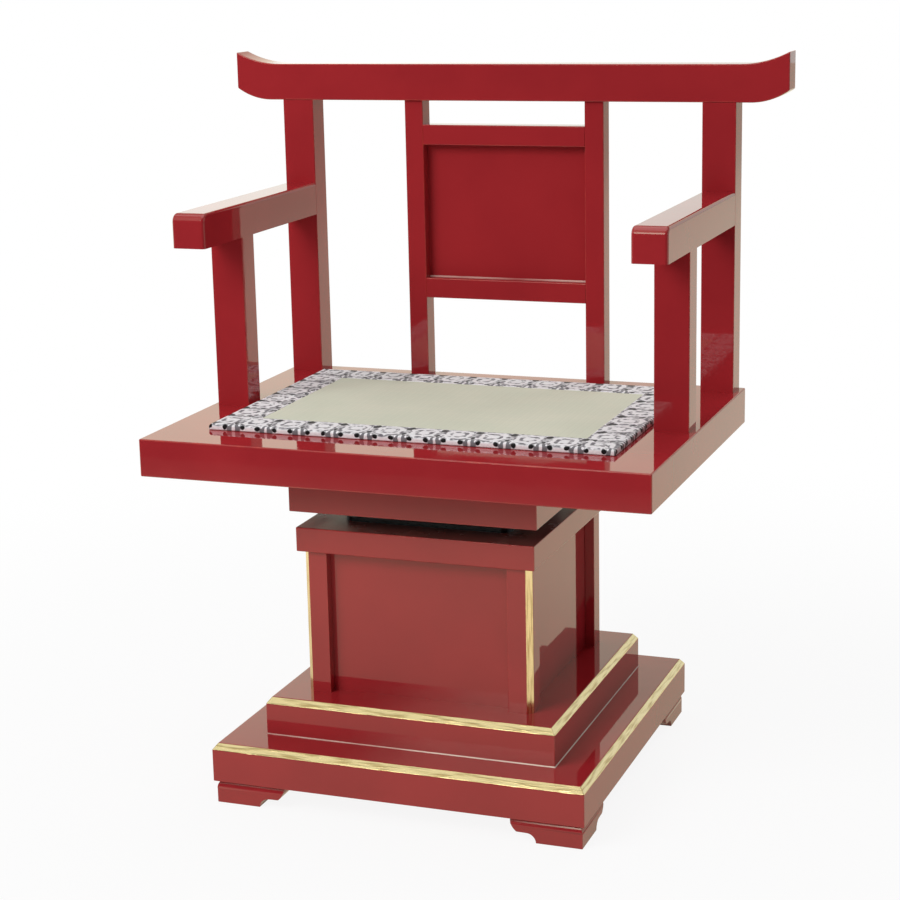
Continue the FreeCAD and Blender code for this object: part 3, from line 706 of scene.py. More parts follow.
LACQUER = Lacquer()
# A darker, browner, duller coat on the faces between the swivel block and the pedestal cap: painted shade
# where the block covers the cap.
SWIVEL_SHADE_COAT = Lacquer(
    "brown_undercoat", deep=(0.21, 0.07, 0.058, 1.0), bright=(0.27, 0.09, 0.075, 1.0),
    rubbed=(0.30, 0.11, 0.09, 1.0), mirror=0.18, haze=0.34,
)
# Pooled lacquer in inside corners; its pale, mottled colour is a painted highlight along the corner line.
POLISH_AND_GLINT = Lacquer(
    "corner_polish", deep=(0.36, 0.05, 0.05, 1.0), bright=(0.70, 0.48, 0.42, 1.0),
    rubbed=(0.70, 0.48, 0.42, 1.0), mirror=0.1, haze=0.2,
)
GOLD = GoldLeaf()
BLACKED = Steel()
BRIGHT = Steel(
    "bright_steel", face=(0.46, 0.47, 0.50, 1.0), streak=(0.60, 0.61, 0.64, 1.0),
    scuff=(0.75, 0.75, 0.78, 1.0), rough=(0.16, 0.3),
)
RUSH = Rush()
CLOTH = BorderCloth()
THREAD = Thread()

# Numbers of a piece's finishes, in the order in which it is given them.
FIRST, SECOND, THIRD = range(3)


class Joinery:
    """Hand tools for meshes: copying a node, easing edges, and setting a finished piece in its place."""

    MERGED: float = 1e-6  # points nearer than this are one point
    FLAT: float = math.radians(0.6)  # faces that turn by less are one face
    SHARP: float = math.radians(38)  # edges that turn by more look sharp
    ALIGNED: float = 0.99  # cosine past which two directions count as the same
    LEVEL: float = 0.9  # upright part of a level face's normal
    CORNER: float = 0.5  # turn in radians past which an edge is eased
    BELOW: float = 1e-5  # how far under the top an edge has to reach
    SHORTEST: float = 1.5  # shortest edge that is eased, in widths of the easing
    EASING_STEPS: int = 3

    @classmethod
    def copy_of(cls, node: str) -> bmesh.types.BMesh:
        """A node's solid with its triangles merged back into whole faces.

        Args:
            node: The node's name.

        Returns:
            The copy.
        """
        bm = bmesh.new()
        bm.from_mesh(frame["nodes"][node].data)
        bmesh.ops.remove_doubles(bm, verts=bm.verts, dist=cls.MERGED)
        bmesh.ops.dissolve_limit(bm, angle_limit=cls.FLAT, verts=bm.verts, edges=bm.edges)
        for face in bm.faces:
            face.material_index = FIRST
        bm.normal_update()
        return bm

    @classmethod
    def taken(cls, edge: bmesh.types.BMEdge, rule: EdgeRule, top: float) -> bool:
        """Whether a rule eases this edge.

        Args:
            edge: The edge.
            rule: The rule.
            top: The height of the piece's top.

        Returns:
            True if it is eased.
        """
        a, b = (v.co for v in edge.verts)
        run = (b - a).normalized()
        if rule is EdgeRule.ALONG_X:
            return abs(run.x) > cls.ALIGNED
        if rule is EdgeRule.ALONG_Z:
            return abs(run.z) > cls.ALIGNED
        if rule is EdgeRule.BELOW_TOP:
            return min(a.z, b.z) < top - cls.BELOW
        return rule is EdgeRule.ALL

    @classmethod
    def ease(cls, bm: bmesh.types.BMesh, rule: EdgeRule, width: float = 0.0) -> None:
        """Rounds a piece's sharp outside edges and marks the new faces as edge.

        Args:
            bm: The piece.
            rule: Which edges are eased.
            width: How far each edge is taken back.
        """
        mark = bm.faces.layers.float.new("edge")
        if rule is EdgeRule.NONE:
            return
        top = max(v.co.z for v in bm.verts)
        picked = [
            e for e in bm.edges
            if len(e.link_faces) == 2 and e.is_convex and e.calc_face_angle() > cls.CORNER
            and e.calc_length() > cls.SHORTEST * width and cls.taken(e, rule, top)
        ]
        made = bmesh.ops.bevel(
            bm, geom=picked, offset=width, offset_type="OFFSET", segments=cls.EASING_STEPS, profile=0.5,
            affect="EDGES", clamp_overlap=False, material=-1,
        )
        for face in made["faces"]:
            face[mark] = 1.0

    @staticmethod
    def band(bm: bmesh.types.BMesh) -> None:
        """Lays each face out flat in metres, along its longest edge and across it.

        Args:
            bm: The piece.
        """
        flat = bm.loops.layers.uv.new("band")
        bm.normal_update()
        for face in bm.faces:
            longest = max(face.edges, key=lambda e: e.calc_length())
            run = (longest.verts[1].co - longest.verts[0].co).normalized()
            run *= 1.0 if sum(run) > 0 else -1.0
            side = face.normal.cross(run)
            for loop in face.loops:
                loop[flat].uv = (loop.vert.co.dot(run), loop.vert.co.dot(side))

    @staticmethod
    def block(corners: Sequence[Sequence[Point]]) -> bmesh.types.BMesh:
        """Joins rings of the same number of points into a closed solid.

        Args:
            corners: The rings in order; the first and last are capped.

        Returns:
            The solid.
        """
        bm = bmesh.new()
        rings = [[bm.verts.new(p) for p in ring] for ring in corners]
        for low, high in zip(rings, rings[1:]):
            for i in range(len(low)):
                j = (i + 1) % len(low)
                bm.faces.new((low[i], low[j], high[j], high[i]))
        bm.faces.new(list(reversed(rings[0])))
        bm.faces.new(rings[-1])
        bmesh.ops.recalc_face_normals(bm, faces=bm.faces)
        return bm

    @staticmethod
    def put(name: str, data: bpy.types.ID) -> bpy.types.Object:
        """Puts a mesh, a lamp or a camera in the scene.

        Args:
            name: The object's name.
            data: What it shows.

        Returns:
            The object.
        """
        made = bpy.data.objects.new(name, data)
        bpy.context.scene.collection.objects.link(made)
        return made

    @staticmethod
    def worked(piece: bpy.types.Object) -> bpy.types.Mesh:
        """A plain mesh of a piece's shape under its modifiers."""
        return bpy.data.meshes.new_from_object(piece.evaluated_get(bpy.context.evaluated_depsgraph_get()))

    @classmethod
    def solid(cls, bm: bmesh.types.BMesh, name: str, *finishes: Finish) -> bpy.types.Object:
        """Turns a mesh in the making into an object with flat faces and smooth roundings.

        Args:
            bm: The mesh, which is used up.
            name: The object's name.
            finishes: Its finishes, by the faces' material number.

        Returns:
            The object.
        """
        mesh = bpy.data.meshes.new(name)
        bm.to_mesh(mesh)
        bm.free()
        for finish in finishes:
            mesh.materials.append(finish.material())
        mesh.shade_smooth()
        mesh.set_sharp_from_angle(angle=cls.SHARP)
        piece = cls.put(name, mesh)
        flats = piece.modifiers.new("flats", "WEIGHTED_NORMAL")
        flats.keep_sharp = True
        done = cls.worked(piece)
        piece.modifiers.remove(flats)
        piece.data = done
        done.name = name
        return piece

    @staticmethod
    def settle(piece: bpy.types.Object, body: Body, slot: Slot, *nodes: str) -> bpy.types.Object:
        """Puts a finished piece on its body, in place of its nodes.

        Args:
            piece: The piece.
            body: The body that it moves with.
            slot: Its finish in the record; not used.
            nodes: The nodes that it stands for.

        Returns:
            The piece.
        """
        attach(piece, body.value)
        if nodes:
            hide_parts(*nodes)
        log.info("%s: %d faces on %s", piece.name, len(piece.data.polygons), body.value)
        return piece

    @classmethod
    def dressed(
        cls, node: str, body: Body, rule: EdgeRule, width: float = 0.0,
        finish: Finish = LACQUER, slot: Slot = Slot.LACQUER, unseen: Unseen = Unseen.NONE,
    ) -> bpy.types.Object:
        """A node's own shape with eased edges and its finish.

        Args:
            node: The node.
            body: The body that it moves with.
            rule: Which edges are eased.
            width: How far they are taken back.
            finish: The finish.
            slot: The finish in the record.
            unseen: The face that gets the darker coat of painted shade.

        Returns:
            The piece.
        """
        bm = cls.copy_of(node)
        # Faces on the unseen side get the darker coat of painted shade.
        for face in bm.faces:
            face.material_index = SECOND if unseen.value * face.normal.z > cls.LEVEL else FIRST
        cls.ease(bm, rule, width)
        finishes = (finish,) if unseen is Unseen.NONE else (finish, SWIVEL_SHADE_COAT)
        return cls.settle(cls.solid(bm, node + "_dressed", *finishes), body, slot, node)


@dataclass
class Plinth:
    """One step of the base: four joined rails under one coat of lacquer, with a gilded chamfer."""

    name: str
    pooled: float = 0.0
    gilt_inset: float = 0.0056
    gilt_drop: float = 0.0072
    easing: float = 0.0007

    @staticmethod
    def carry(bm: bmesh.types.BMesh, profile: Sequence[Span], coats: Sequence[int]) -> None:
        """Carries a profile round the four mitred sides.

        Args:
            bm: The mesh that the sides are added to.
            profile: Points as the distance from the middle and the height.
            coats: The finish of each stretch of the profile, by number.
        """
        corners = [(1, -1), (1, 1), (-1, 1), (-1, -1)]
        rings = [[bm.verts.new((sx * r, sy * r, z)) for r, z in profile] for sx, sy in corners]
        for k, ring in enumerate(rings):
            after = rings[(k + 1) % len(rings)]
            for i, coat in enumerate(coats):
                j = (i + 1) % len(profile)
                face = bm.faces.new((ring[i], after[i], after[j], ring[j]))
                face.material_index = coat
        bmesh.ops.recalc_face_normals(bm, faces=bm.faces)

    def build(self) -> bpy.types.Object:
        """Builds the ring, gilds its chamfer, and leaves a bead of pooled polish in the corner at its foot,
        coloured pale as a painted highlight.

        Returns:
            The piece.
        """
        nodes = [f"{self.name}_{side}" for side in ("front", "rear", "left", "right")]
        low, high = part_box(nodes[0])
        half, inner, foot, top = -low.y, -high.y, low.z, high.z
        bm = bmesh.new()
        arris = [(half, top - self.gilt_drop), (half - self.gilt_inset, top)]
        profile = [(half, foot), *arris, (inner, top), (inner, foot)]
        self.carry(bm, profile, (FIRST, SECOND, FIRST, FIRST, FIRST))
        Joinery.ease(bm, EdgeRule.ALL, self.easing)
        # The bead of pooled lacquer at the foot gets the pale finish of painted highlight.
        if self.pooled:
            back = half - self.easing
            peak = foot + self.pooled + 2 * self.easing
            bead = [(back, foot), (half + self.pooled / 2, foot), (back, peak)]
            self.carry(bm, bead, (THIRD, THIRD, THIRD))
        Joinery.band(bm)
        piece = Joinery.solid(bm, self.name + "_lacquered", LACQUER, GOLD, POLISH_AND_GLINT)
        return Joinery.settle(piece, Body.BASE, Slot.LACQUER, *nodes)


@dataclass
class Base:
    """The standing part: scroll-cut feet, two plinths and the panelled pedestal."""

    corners: tuple[str, ...] = ("front_left", "front_right", "rear_right", "rear_left")
    sides: tuple[str, ...] = ("front", "right", "rear", "left")
    foot_easing: float = 0.0007
    post_easing: float = 0.0007
    post_chamfer: float = 0.0064
    cap_easing: float = 0.0012
    pooled: float = 0.0013

    def build(self) -> None:
        """Builds every piece of the base."""
        for corner in self.corners:
            Joinery.dressed(f"foot_{corner}", Body.BASE, EdgeRule.BELOW_TOP, self.foot_easing)
        Plinth("lower_plinth").build()
        Plinth("upper_plinth", self.pooled).build()
        for corner in self.corners:
            self.post(corner)
        for side in self.sides:
            Joinery.dressed(f"pedestal_panel_{side}", Body.BASE, EdgeRule.NONE)
        # The cap's top, under the swivel block, gets the darker coat of painted shade.
        Joinery.dressed("pedestal_cap", Body.BASE, EdgeRule.ALL, self.cap_easing, unseen=Unseen.TOP)

    def post(self, corner: str) -> bpy.types.Object:
        """Dresses one pedestal post and gilds the chamfer on its outer corner.

        Args:
            corner: The post's corner.

        Returns:
            The piece.
        """
        node = f"pedestal_post_{corner}"
        bm = Joinery.copy_of(node)
        low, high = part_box(node)
        outward = Vector((low.x + high.x, low.y + high.y, 0.0)).normalized()
        arris = Vector((high.x if outward.x > 0 else low.x, high.y if outward.y > 0 else low.y))
        for face in bm.faces:
            if face.normal.dot(outward) > Joinery.ALIGNED:
                face.material_index = SECOND
                for vert in face.verts:
                    vert.co.xy = arris + (vert.co.xy - arris).normalized() * self.post_chamfer
        bm.normal_update()
        Joinery.ease(bm, EdgeRule.ALONG_Z, self.post_easing)
        Joinery.band(bm)
        piece = Joinery.solid(bm, node + "_dressed", LACQUER, GOLD)
        return Joinery.settle(piece, Body.BASE, Slot.LACQUER, node)


@dataclass
class Swivel:
    """The thrust roller bearing under the seat, its pivot and its screws."""

    blacked: tuple[str, ...] = ("lower_bearing_plate", "upper_bearing_plate", "roller_cage")
    bright: tuple[str, ...] = (
        "bearing_rollers", "lower_bearing_screws", "upper_bearing_screws",
        "pivot_bolt", "pivot_washer", "pivot_nut",
    )

    def build(self) -> None:
        """Dresses the steel pieces: plates and cage black, the others bright."""
        for node in self.blacked:
            self.dress(node, BLACKED)
        for node in self.bright:
            self.dress(node, BRIGHT)

    def dress(self, node: str, finish: Steel) -> bpy.types.Object:
        """Dresses one steel piece on the body that its node belongs to."""
        body = Body(body_of(frame["nodes"][node])[0])
        return Joinery.dressed(node, body, EdgeRule.NONE, finish=finish, slot=Slot.STEEL)


@dataclass
class SeatFrame:
    """The seat: four rails and a board under one coat of lacquer, on two bearers and the swivel block."""

    easing: float = 0.0016
    block_easing: float = 0.0010

    def build(self) -> None:
        """Builds the slab, the bearers and the block."""
        self.slab()
        for side in ("left", "right"):
            Joinery.dressed(f"seat_bearer_{side}", Body.SEAT, EdgeRule.NONE)
        # The block's underside, over the pedestal cap, gets the darker coat of painted shade.
        Joinery.dressed("swivel_block", Body.SEAT, EdgeRule.ALL, self.block_easing, unseen=Unseen.UNDERSIDE)

    @staticmethod
    def ring(x: float, y: float, z: float) -> list[Point]:
        """The four corners of a rectangle at one height."""
        return [(-x, -y, z), (x, -y, z), (x, y, z), (-x, y, z)]

    def slab(self) -> bpy.types.Object:
        """Builds the seat slab with the hollow between its rails underneath.

        Returns:
            The piece.
        """
        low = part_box("seat_left_rail")[0]
        inner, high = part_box("seat_right_rail")
        inner_y = -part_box("seat_front_rail")[1].y
        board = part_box("seat_panel")[0].z
        bm = Joinery.block([
            self.ring(inner.x, inner_y, board), self.ring(inner.x, inner_y, low.z),
            self.ring(high.x, high.y, low.z), self.ring(high.x, high.y, high.z),
        ])
        Joinery.ease(bm, EdgeRule.ALL, self.easing)
        piece = Joinery.solid(bm, "seat_slab_lacquered", LACQUER)
        rails = [f"seat_{side}_rail" for side in ("left", "right", "front", "rear")]
        return Joinery.settle(piece, Body.SEAT, Slot.LACQUER, *rails, "seat_panel")


@dataclass
class ArmsAndBack:
    """Posts, arms, the upswept crest rail and the framed back panel."""

    post_easing: float = 0.0011
    crest_easing: float = 0.0014
    top_sweep: float = 0.059
    bottom_sweep: float = 0.046
    rise: float = 0.0145
    sweep_steps: int = 18
    pooled: float = 0.0016
    sunk: float = 0.0003

    def build(self) -> None:
        """Builds every piece above the seat."""
        for side in ("left", "right"):
            Joinery.dressed(f"rear_post_{side}", Body.SEAT, EdgeRule.ALONG_Z, self.post_easing)
            Joinery.dressed(f"arm_post_{side}", Body.SEAT, EdgeRule.ALONG_Z, self.post_easing)
            Joinery.dressed(f"arm_{side}", Body.SEAT, EdgeRule.NONE)
            Joinery.dressed(f"back_stile_{side}", Body.SEAT, EdgeRule.ALONG_Z, self.post_easing)
        for place in ("top", "bottom"):
            Joinery.dressed(f"panel_{place}_rail", Body.SEAT, EdgeRule.ALONG_X, self.post_easing)
        self.panel()
        self.crest()

    def panel(self) -> bpy.types.Object:
        """Dresses the back panel, with a bead of pooled polish where it meets the rail under it, coloured
        pale as a painted highlight.

        Returns:
            The piece.
        """
        bm = Joinery.copy_of("back_panel")
        Joinery.ease(bm, EdgeRule.NONE)
        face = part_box("back_panel")[0].y
        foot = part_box("panel_bottom_rail")[1].z
        ends = (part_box("back_stile_left")[1].x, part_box("back_stile_right")[0].x)
        inside = face + self.sunk
        bead = [(face - self.pooled, foot), (inside, foot - self.sunk), (inside, foot + self.pooled)]
        left, right = ([bm.verts.new((x, y, z)) for y, z in bead] for x in ends)
        made = [bm.faces.new(left), bm.faces.new(right)]
        made += [bm.faces.new((left[i], left[i - 1], right[i - 1], right[i])) for i in range(len(bead))]
        # The bead gets the pale finish of painted highlight.
        for side in made:
            side.material_index = SECOND
        bmesh.ops.recalc_face_normals(bm, faces=bm.faces)
        piece = Joinery.solid(bm, "back_panel_dressed", LACQUER, POLISH_AND_GLINT)
        return Joinery.settle(piece, Body.SEAT, Slot.LACQUER, "back_panel")

    def sweep(self, run: float, height: float, end: float) -> list[Span]:
        """An arc that leaves the level line smoothly and reaches the crest's end.

        Args:
            run: How far in from the end it starts.
            height: The level that it starts from.
            end: Where the crest ends.

        Returns:
            Its points from the start to the end, as x and z.
        """
        radius = (run * run + self.rise * self.rise) / (2 * self.rise)
        whole = math.asin(run / radius)
        turns = [whole * i / self.sweep_steps for i in range(self.sweep_steps + 1)]
        return [(end - run + radius * math.sin(t), height + radius * (1 - math.cos(t))) for t in turns]

    def crest(self) -> bpy.types.Object:
        """Builds the crest rail with smooth sweeps at its ends.

        Returns:
            The piece.
        """
        low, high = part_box("crest_rail")
        below = self.sweep(self.bottom_sweep, low.z, high.x)
        above = self.sweep(self.top_sweep, high.z - self.rise, high.x)
        right = below + above[::-1]
        left = [(-x, z) for x, z in right[::-1]]
        outline = right + left
        bm = Joinery.block([[(x, y, z) for x, z in outline] for y in (low.y, high.y)])
        Joinery.ease(bm, EdgeRule.ALL, self.crest_easing)
        piece = Joinery.solid(bm, "crest_rail_lacquered", LACQUER)
        return Joinery.settle(piece, Body.SEAT, Slot.LACQUER, "crest_rail")


class NodeTool:
    """A Geometry Nodes tree with named inputs, run once to make a plain mesh."""

    KINDS: dict[type, str] = {float: "NodeSocketFloat", int: "NodeSocketInt", Vector: "NodeSocketVector"}

    def __init__(self, name: str, inputs: dict[str, type]) -> None:
        """Starts the tree.

        Args:
            name: The tree's name.
            inputs: The kinds of value by input name; the material is added to them.
        """
        self.tree = bpy.data.node_groups.new(name, "GeometryNodeTree")
        kinds = {label: self.KINDS[kind] for label, kind in inputs.items()}
        for label, kind in (*kinds.items(), ("Material", "NodeSocketMaterial")):
            self.tree.interface.new_socket(name=label, in_out="INPUT", socket_type=kind)
        self.tree.interface.new_socket(name="Geometry", in_out="OUTPUT", socket_type="NodeSocketGeometry")
        self.bench = NodeBench(self.tree)
        entry = self.bench.add("NodeGroupInput")
        self.given = {s.name: s for s in entry.outputs if s.name}

    def close(self, shape: Socket) -> None:
        """Ends the tree: instances made real, and the material set.

        Args:
            shape: The socket with the finished shape.
        """
        real = self.bench.add("GeometryNodeRealizeInstances", {0: shape})
        coated = {"Geometry": real.outputs[0], "Material": self.given["Material"]}
        self.bench.add("NodeGroupOutput", {0: self.bench.add("GeometryNodeSetMaterial", coated).outputs[0]})

    def run(self, name: str, values: dict[str, object]) -> bpy.types.Mesh:
        """Runs the tree.

        Args:
            name: The mesh's name.
            values: The inputs' values by name.

        Returns:
            The plain mesh.
        """
        empty = bpy.data.meshes.new(name + "_host")
        host = Joinery.put(name + "_host", empty)
        tool = host.modifiers.new("tool", "NODES")
        tool.node_group = self.tree
        for item in self.tree.interface.items_tree:
            if item.item_type == "SOCKET" and item.in_out == "INPUT":
                tool[item.identifier] = values[item.name]
        mesh = Joinery.worked(host)
        mesh.name = name
        bpy.data.objects.remove(host)
        bpy.data.meshes.remove(empty)
        return mesh


@dataclass
class SeatMat:
    """The loose mat: a rush facing in rows, and a woven border folded over each side and mitred."""

    # The facing.
    row: float = RUSH.row
    stalk: float = RUSH.stalk
    row_steps: int = 4
    count_from: float = 1000.5
    swell: float = 0.0003
    crown: float = 0.0008
    crown_power: float = 4.0
    clearance: float = 0.0002
    rim_angle: float = math.radians(60)
    # The fold of the border, from the foot of the mat's side to the hem.
    border: float = 0.046
    wall: float = 0.00072
    foot: float = 0.0004
    side_stops: Span = (0.25, 0.5)
    shoulder: float = 0.003
    shoulder_steps: int = 8
    top_steps: int = 12
    hem_start: float = 0.002
    hem_turn: Span = (0.0009, 0.0003)
    hem_drop: float = 0.0009
    step: float = 0.002
    # How the cloth puckers at its seam and ripples elsewhere.
    pucker: float = 0.0004
    pucker_reach: float = 0.0022
    pucker_beat: Span = (0.6, 0.4)
    ripple: float = 0.00025
    ripple_rates: Point = (47.0, 90.0, 13.0)
    ripple_shift: float = 1.3
    # The seam.
    stitch_pitch: float = 0.0085
    stitch_length: float = 0.005
    stitch_thickness: float = 0.0008
    stitch_inset: float = 0.0028
    stitch_sunk: float = 0.0003
    stitch_sway: float = 0.09
    stitch_seed: int = 11
    stitch_faces: tuple[int, int] = (6, 5)

    def build(self) -> None:
        """Builds the facing, the four strips of border and their seams."""
        self.facing()
        seam = self.stitch_tool()
        for side in Side:
            self.strip(side, seam)

    def facing_tool(self) -> NodeTool:
        """The rows of woven rush: neighbouring stalks rise between the warp threads in turn.

        Returns:
            The tree.
        """
        sizes = dict.fromkeys(("Width", "Depth", "Row", "Stalk", "Swell", "Crown"), float)
        tool = NodeTool("rush_rows", {**sizes, "Columns": int, "Rows": int})
        bench, given = tool.bench, tool.given
        grid = bench.add("GeometryNodeMeshGrid", {
            "Size X": given["Width"], "Size Y": given["Depth"],
            "Vertices X": given["Columns"], "Vertices Y": given["Rows"],
        })
        x, y = bench.axes(bench.add("GeometryNodeInputPosition").outputs[0])[:2]
        counted = bench.math("ADD", bench.math("DIVIDE", y, given["Stalk"]), self.count_from)
        turn = bench.times(bench.math("MODULO", bench.math("FLOOR", counted), 2.0), 0.5)
        phase = bench.times(bench.math("ADD", bench.math("DIVIDE", x, given["Row"]), turn), math.pi)
        lift = bench.times(bench.math("ABSOLUTE", bench.math("SINE", phase)), given["Swell"])
        inside = []
        for way, size in ((x, given["Width"]), (y, given["Depth"])):
            far = bench.math("ABSOLUTE", bench.math("DIVIDE", bench.times(way, 2.0), size))
            inside.append(bench.math("SUBTRACT", 1.0, bench.math("POWER", far, self.crown_power)))
        height = bench.math("ADD", lift, bench.times(*inside, given["Crown"]))
        offset = bench.add("ShaderNodeCombineXYZ", {2: height}).outputs[0]
        raised = bench.add("GeometryNodeSetPosition", {"Geometry": grid.outputs[0], "Offset": offset})
        tool.close(raised.outputs[0])
        return tool

    def facing(self) -> bpy.types.Object:
        """Builds the rush facing as a thin closed pad.

        Returns:
            The piece.
        """
        low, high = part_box("seat_mat")
        wide, deep = high.x - low.x, high.y - low.y
        columns, rows = int(wide / (self.row / self.row_steps)) + 1, int(deep / self.stalk) + 1
        mesh = self.facing_tool().run("rush_facing", {
            "Width": wide, "Depth": deep, "Row": self.row, "Stalk": self.stalk, "Swell": self.swell,
            "Crown": self.crown, "Columns": columns, "Rows": rows, "Material": RUSH.material(),
        })
        bm = bmesh.new()
        bm.from_mesh(mesh)
        middle = ((low.x + high.x) / 2, (low.y + high.y) / 2, high.z)
        bmesh.ops.translate(bm, vec=middle, verts=bm.verts)
        rim = [e for e in bm.edges if e.is_boundary]
        skirt = bmesh.ops.extrude_edge_only(bm, edges=rim)["geom"]
        for vert in (g for g in skirt if isinstance(g, bmesh.types.BMVert)):
            vert.co.z = low.z + self.clearance
        bmesh.ops.contextual_create(bm, geom=[e for e in bm.edges if e.is_boundary])
        bmesh.ops.recalc_face_normals(bm, faces=bm.faces)
        bm.to_mesh(mesh)
        bm.free()
        mesh.shade_smooth()
        mesh.set_sharp_from_angle(angle=self.rim_angle)
        piece = Joinery.put("rush_facing", mesh)
        Joinery.settle(piece, Body.SEAT, Slot.RUSH, "seat_mat")
        return piece

    def profile(self, height: float) -> list[Point]:
        """The fold of the cloth, from the foot of the mat's side over its shoulder to the hem.

        Args:
            height: The mat's height with its border on.

        Returns:
            Points as the distance in from the edge, the height, and the distance along the cloth.
        """
        r, steps = self.shoulder, self.shoulder_steps
        turns = [i * math.pi / 2 / steps for i in range(steps + 1)]
        flat = self.border - r - self.hem_start
        line = [(0.0, z) for z in (self.foot, *(height * stop for stop in self.side_stops))]
        line += [(r - r * math.cos(a), height - r + r * math.sin(a)) for a in turns]
        line += [(r + flat * i / self.top_steps, height) for i in range(1, self.top_steps + 1)]
        line += [(self.border - self.hem_turn[0], height - self.hem_turn[1])]
        line += [(self.border, height - self.hem_drop)]
        out, walked = [], 0.0
        for k, point in enumerate(line):
            if k:
                walked += math.dist(point, line[k - 1])
            out.append((*point, walked))
        return out

    def strip(self, side: Side, seam: NodeTool) -> bpy.types.Object:
        """Builds one strip of border and its seam.

        Args:
            side: The side of the mat.
            seam: The stitch tool.

        Returns:
            The strip.
        """
        low, high = Vector(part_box("mat_border_front")[0]), Vector(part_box("mat_border_rear")[1])
        middle = (low + high) / 2
        size = high - low
        long, deep = (size.x, size.y) if side in (Side.FRONT, Side.REAR) else (size.y, size.x)
        place = Matrix.Translation((middle.x, middle.y, low.z)) @ side.turn()
        fold = self.profile(size.z)
        name = f"border_strip_{side.name.lower()}"
        mesh = bpy.data.meshes.new(name)
        bm = self.cloth(side, place, long, deep, fold)
        bm.to_mesh(mesh)
        bm.free()
        mesh.materials.append(CLOTH.material())
        mesh.shade_smooth()
        piece = Joinery.put(name, mesh)
        wall = piece.modifiers.new("cloth", "SOLIDIFY")
        wall.thickness, wall.offset = self.wall, -1.0
        piece.data = Joinery.worked(piece)
        piece.modifiers.remove(wall)
        Joinery.settle(piece, Body.SEAT, Slot.CLOTH, f"mat_border_{side.name.lower()}")
        stitches = self.seam(side, seam, place @ Vector((0.0, -deep / 2, size.z)), place.to_3x3(), long)
        return piece

    def cloth(
        self, side: Side, place: Matrix, long: float, deep: float, fold: Sequence[Point],
    ) -> bmesh.types.BMesh:
        """Lays one strip's cloth along its fold, with its UV map in metres.

        Args:
            side: The side of the mat.
            place: Where the strip lies.
            long: The strip's length.
            deep: The mat's size across the strip.
            fold: The fold of the cloth.

        Returns:
            The cloth, without its thickness.
        """
        bm = bmesh.new()
        flat = bm.loops.layers.uv.new("strip")
        turned = side in (Side.REAR, Side.LEFT)
        spots: dict[bmesh.types.BMVert, Span] = {}
        count = int(long / self.step)
        rows = []
        for i in range(count + 1):
            share = 2 * i / count - 1
            row = []
            for inset, z, walked in fold:
                along = share * (long / 2 - inset)
                lifted = z + self.settling(along, inset, side)
                vert = bm.verts.new(place @ Vector((along, inset - deep / 2, lifted)))
                spots[vert] = (along, fold[-1][2] - walked if turned else walked)
                row.append(vert)
            rows.append(row)
        for before, after in zip(rows, rows[1:]):
            for k in range(len(fold) - 1):
                face = bm.faces.new((before[k], after[k], after[k + 1], before[k + 1]))
                for loop in face.loops:
                    loop[flat].uv = spots[loop.vert]
        bm.normal_update()
        return bm

    def settling(self, along: float, inset: float, side: Side) -> float:
        """How far the cloth dips or lifts at one place: seam puckers and a little unevenness.

        Args:
            along: The distance from the strip's middle.
            inset: The distance in from the mat's edge.
            side: The side of the mat.

        Returns:
            The height above the plain fold.
        """
        near = math.exp(-(((inset - self.border + self.stitch_inset) / self.pucker_reach) ** 2))
        still, beating = self.pucker_beat
        beat = still + beating * math.cos(2 * math.pi * along / self.stitch_pitch)
        free = min(1.0, max(0.0, inset / self.border))
        slow, quick, skew = self.ripple_rates
        wave = math.sin(along * slow + self.ripple_shift * side.value)
        wave *= math.sin(inset * quick + along * skew + side.value)
        return self.ripple * free * wave - self.pucker * near * beat

    def stitch_tool(self) -> NodeTool:
        """The seam: small stitches spaced along a line, each turned a little differently.

        Returns:
            The tree.
        """
        sizes = dict.fromkeys(("Turn", "Length", "Thickness"), float)
        tool = NodeTool("border_seam", {"Count": int, "Start": Vector, "Step": Vector, **sizes, "Seed": int})
        bench, given = tool.bench, tool.given
        spaced = {"Count": given["Count"], "Start Location": given["Start"], "Offset": given["Step"]}
        line = bench.add("GeometryNodeMeshLine", spaced)
        segments, rings = self.stitch_faces
        bead = bench.add("GeometryNodeMeshUVSphere", {"Segments": segments, "Rings": rings, "Radius": 0.5})
        thickness = given["Thickness"]
        size = bench.add("ShaderNodeCombineXYZ", {0: given["Length"], 1: thickness, 2: thickness})
        stitch = bench.add("GeometryNodeTransform", {"Geometry": bead.outputs[0], "Scale": size.outputs[0]})
        swayed = {2: -self.stitch_sway, 3: self.stitch_sway, "Seed": given["Seed"]}
        sway = bench.add("FunctionNodeRandomValue", swayed, data_type="FLOAT")
        spin = bench.add("ShaderNodeCombineXYZ", {2: bench.math("ADD", given["Turn"], sway.outputs[1])})
        sown = bench.add("GeometryNodeInstanceOnPoints", {
            "Points": line.outputs[0], "Instance": stitch.outputs[0], "Rotation": spin.outputs[0],
        })
        tool.close(sown.outputs[0])
        return tool

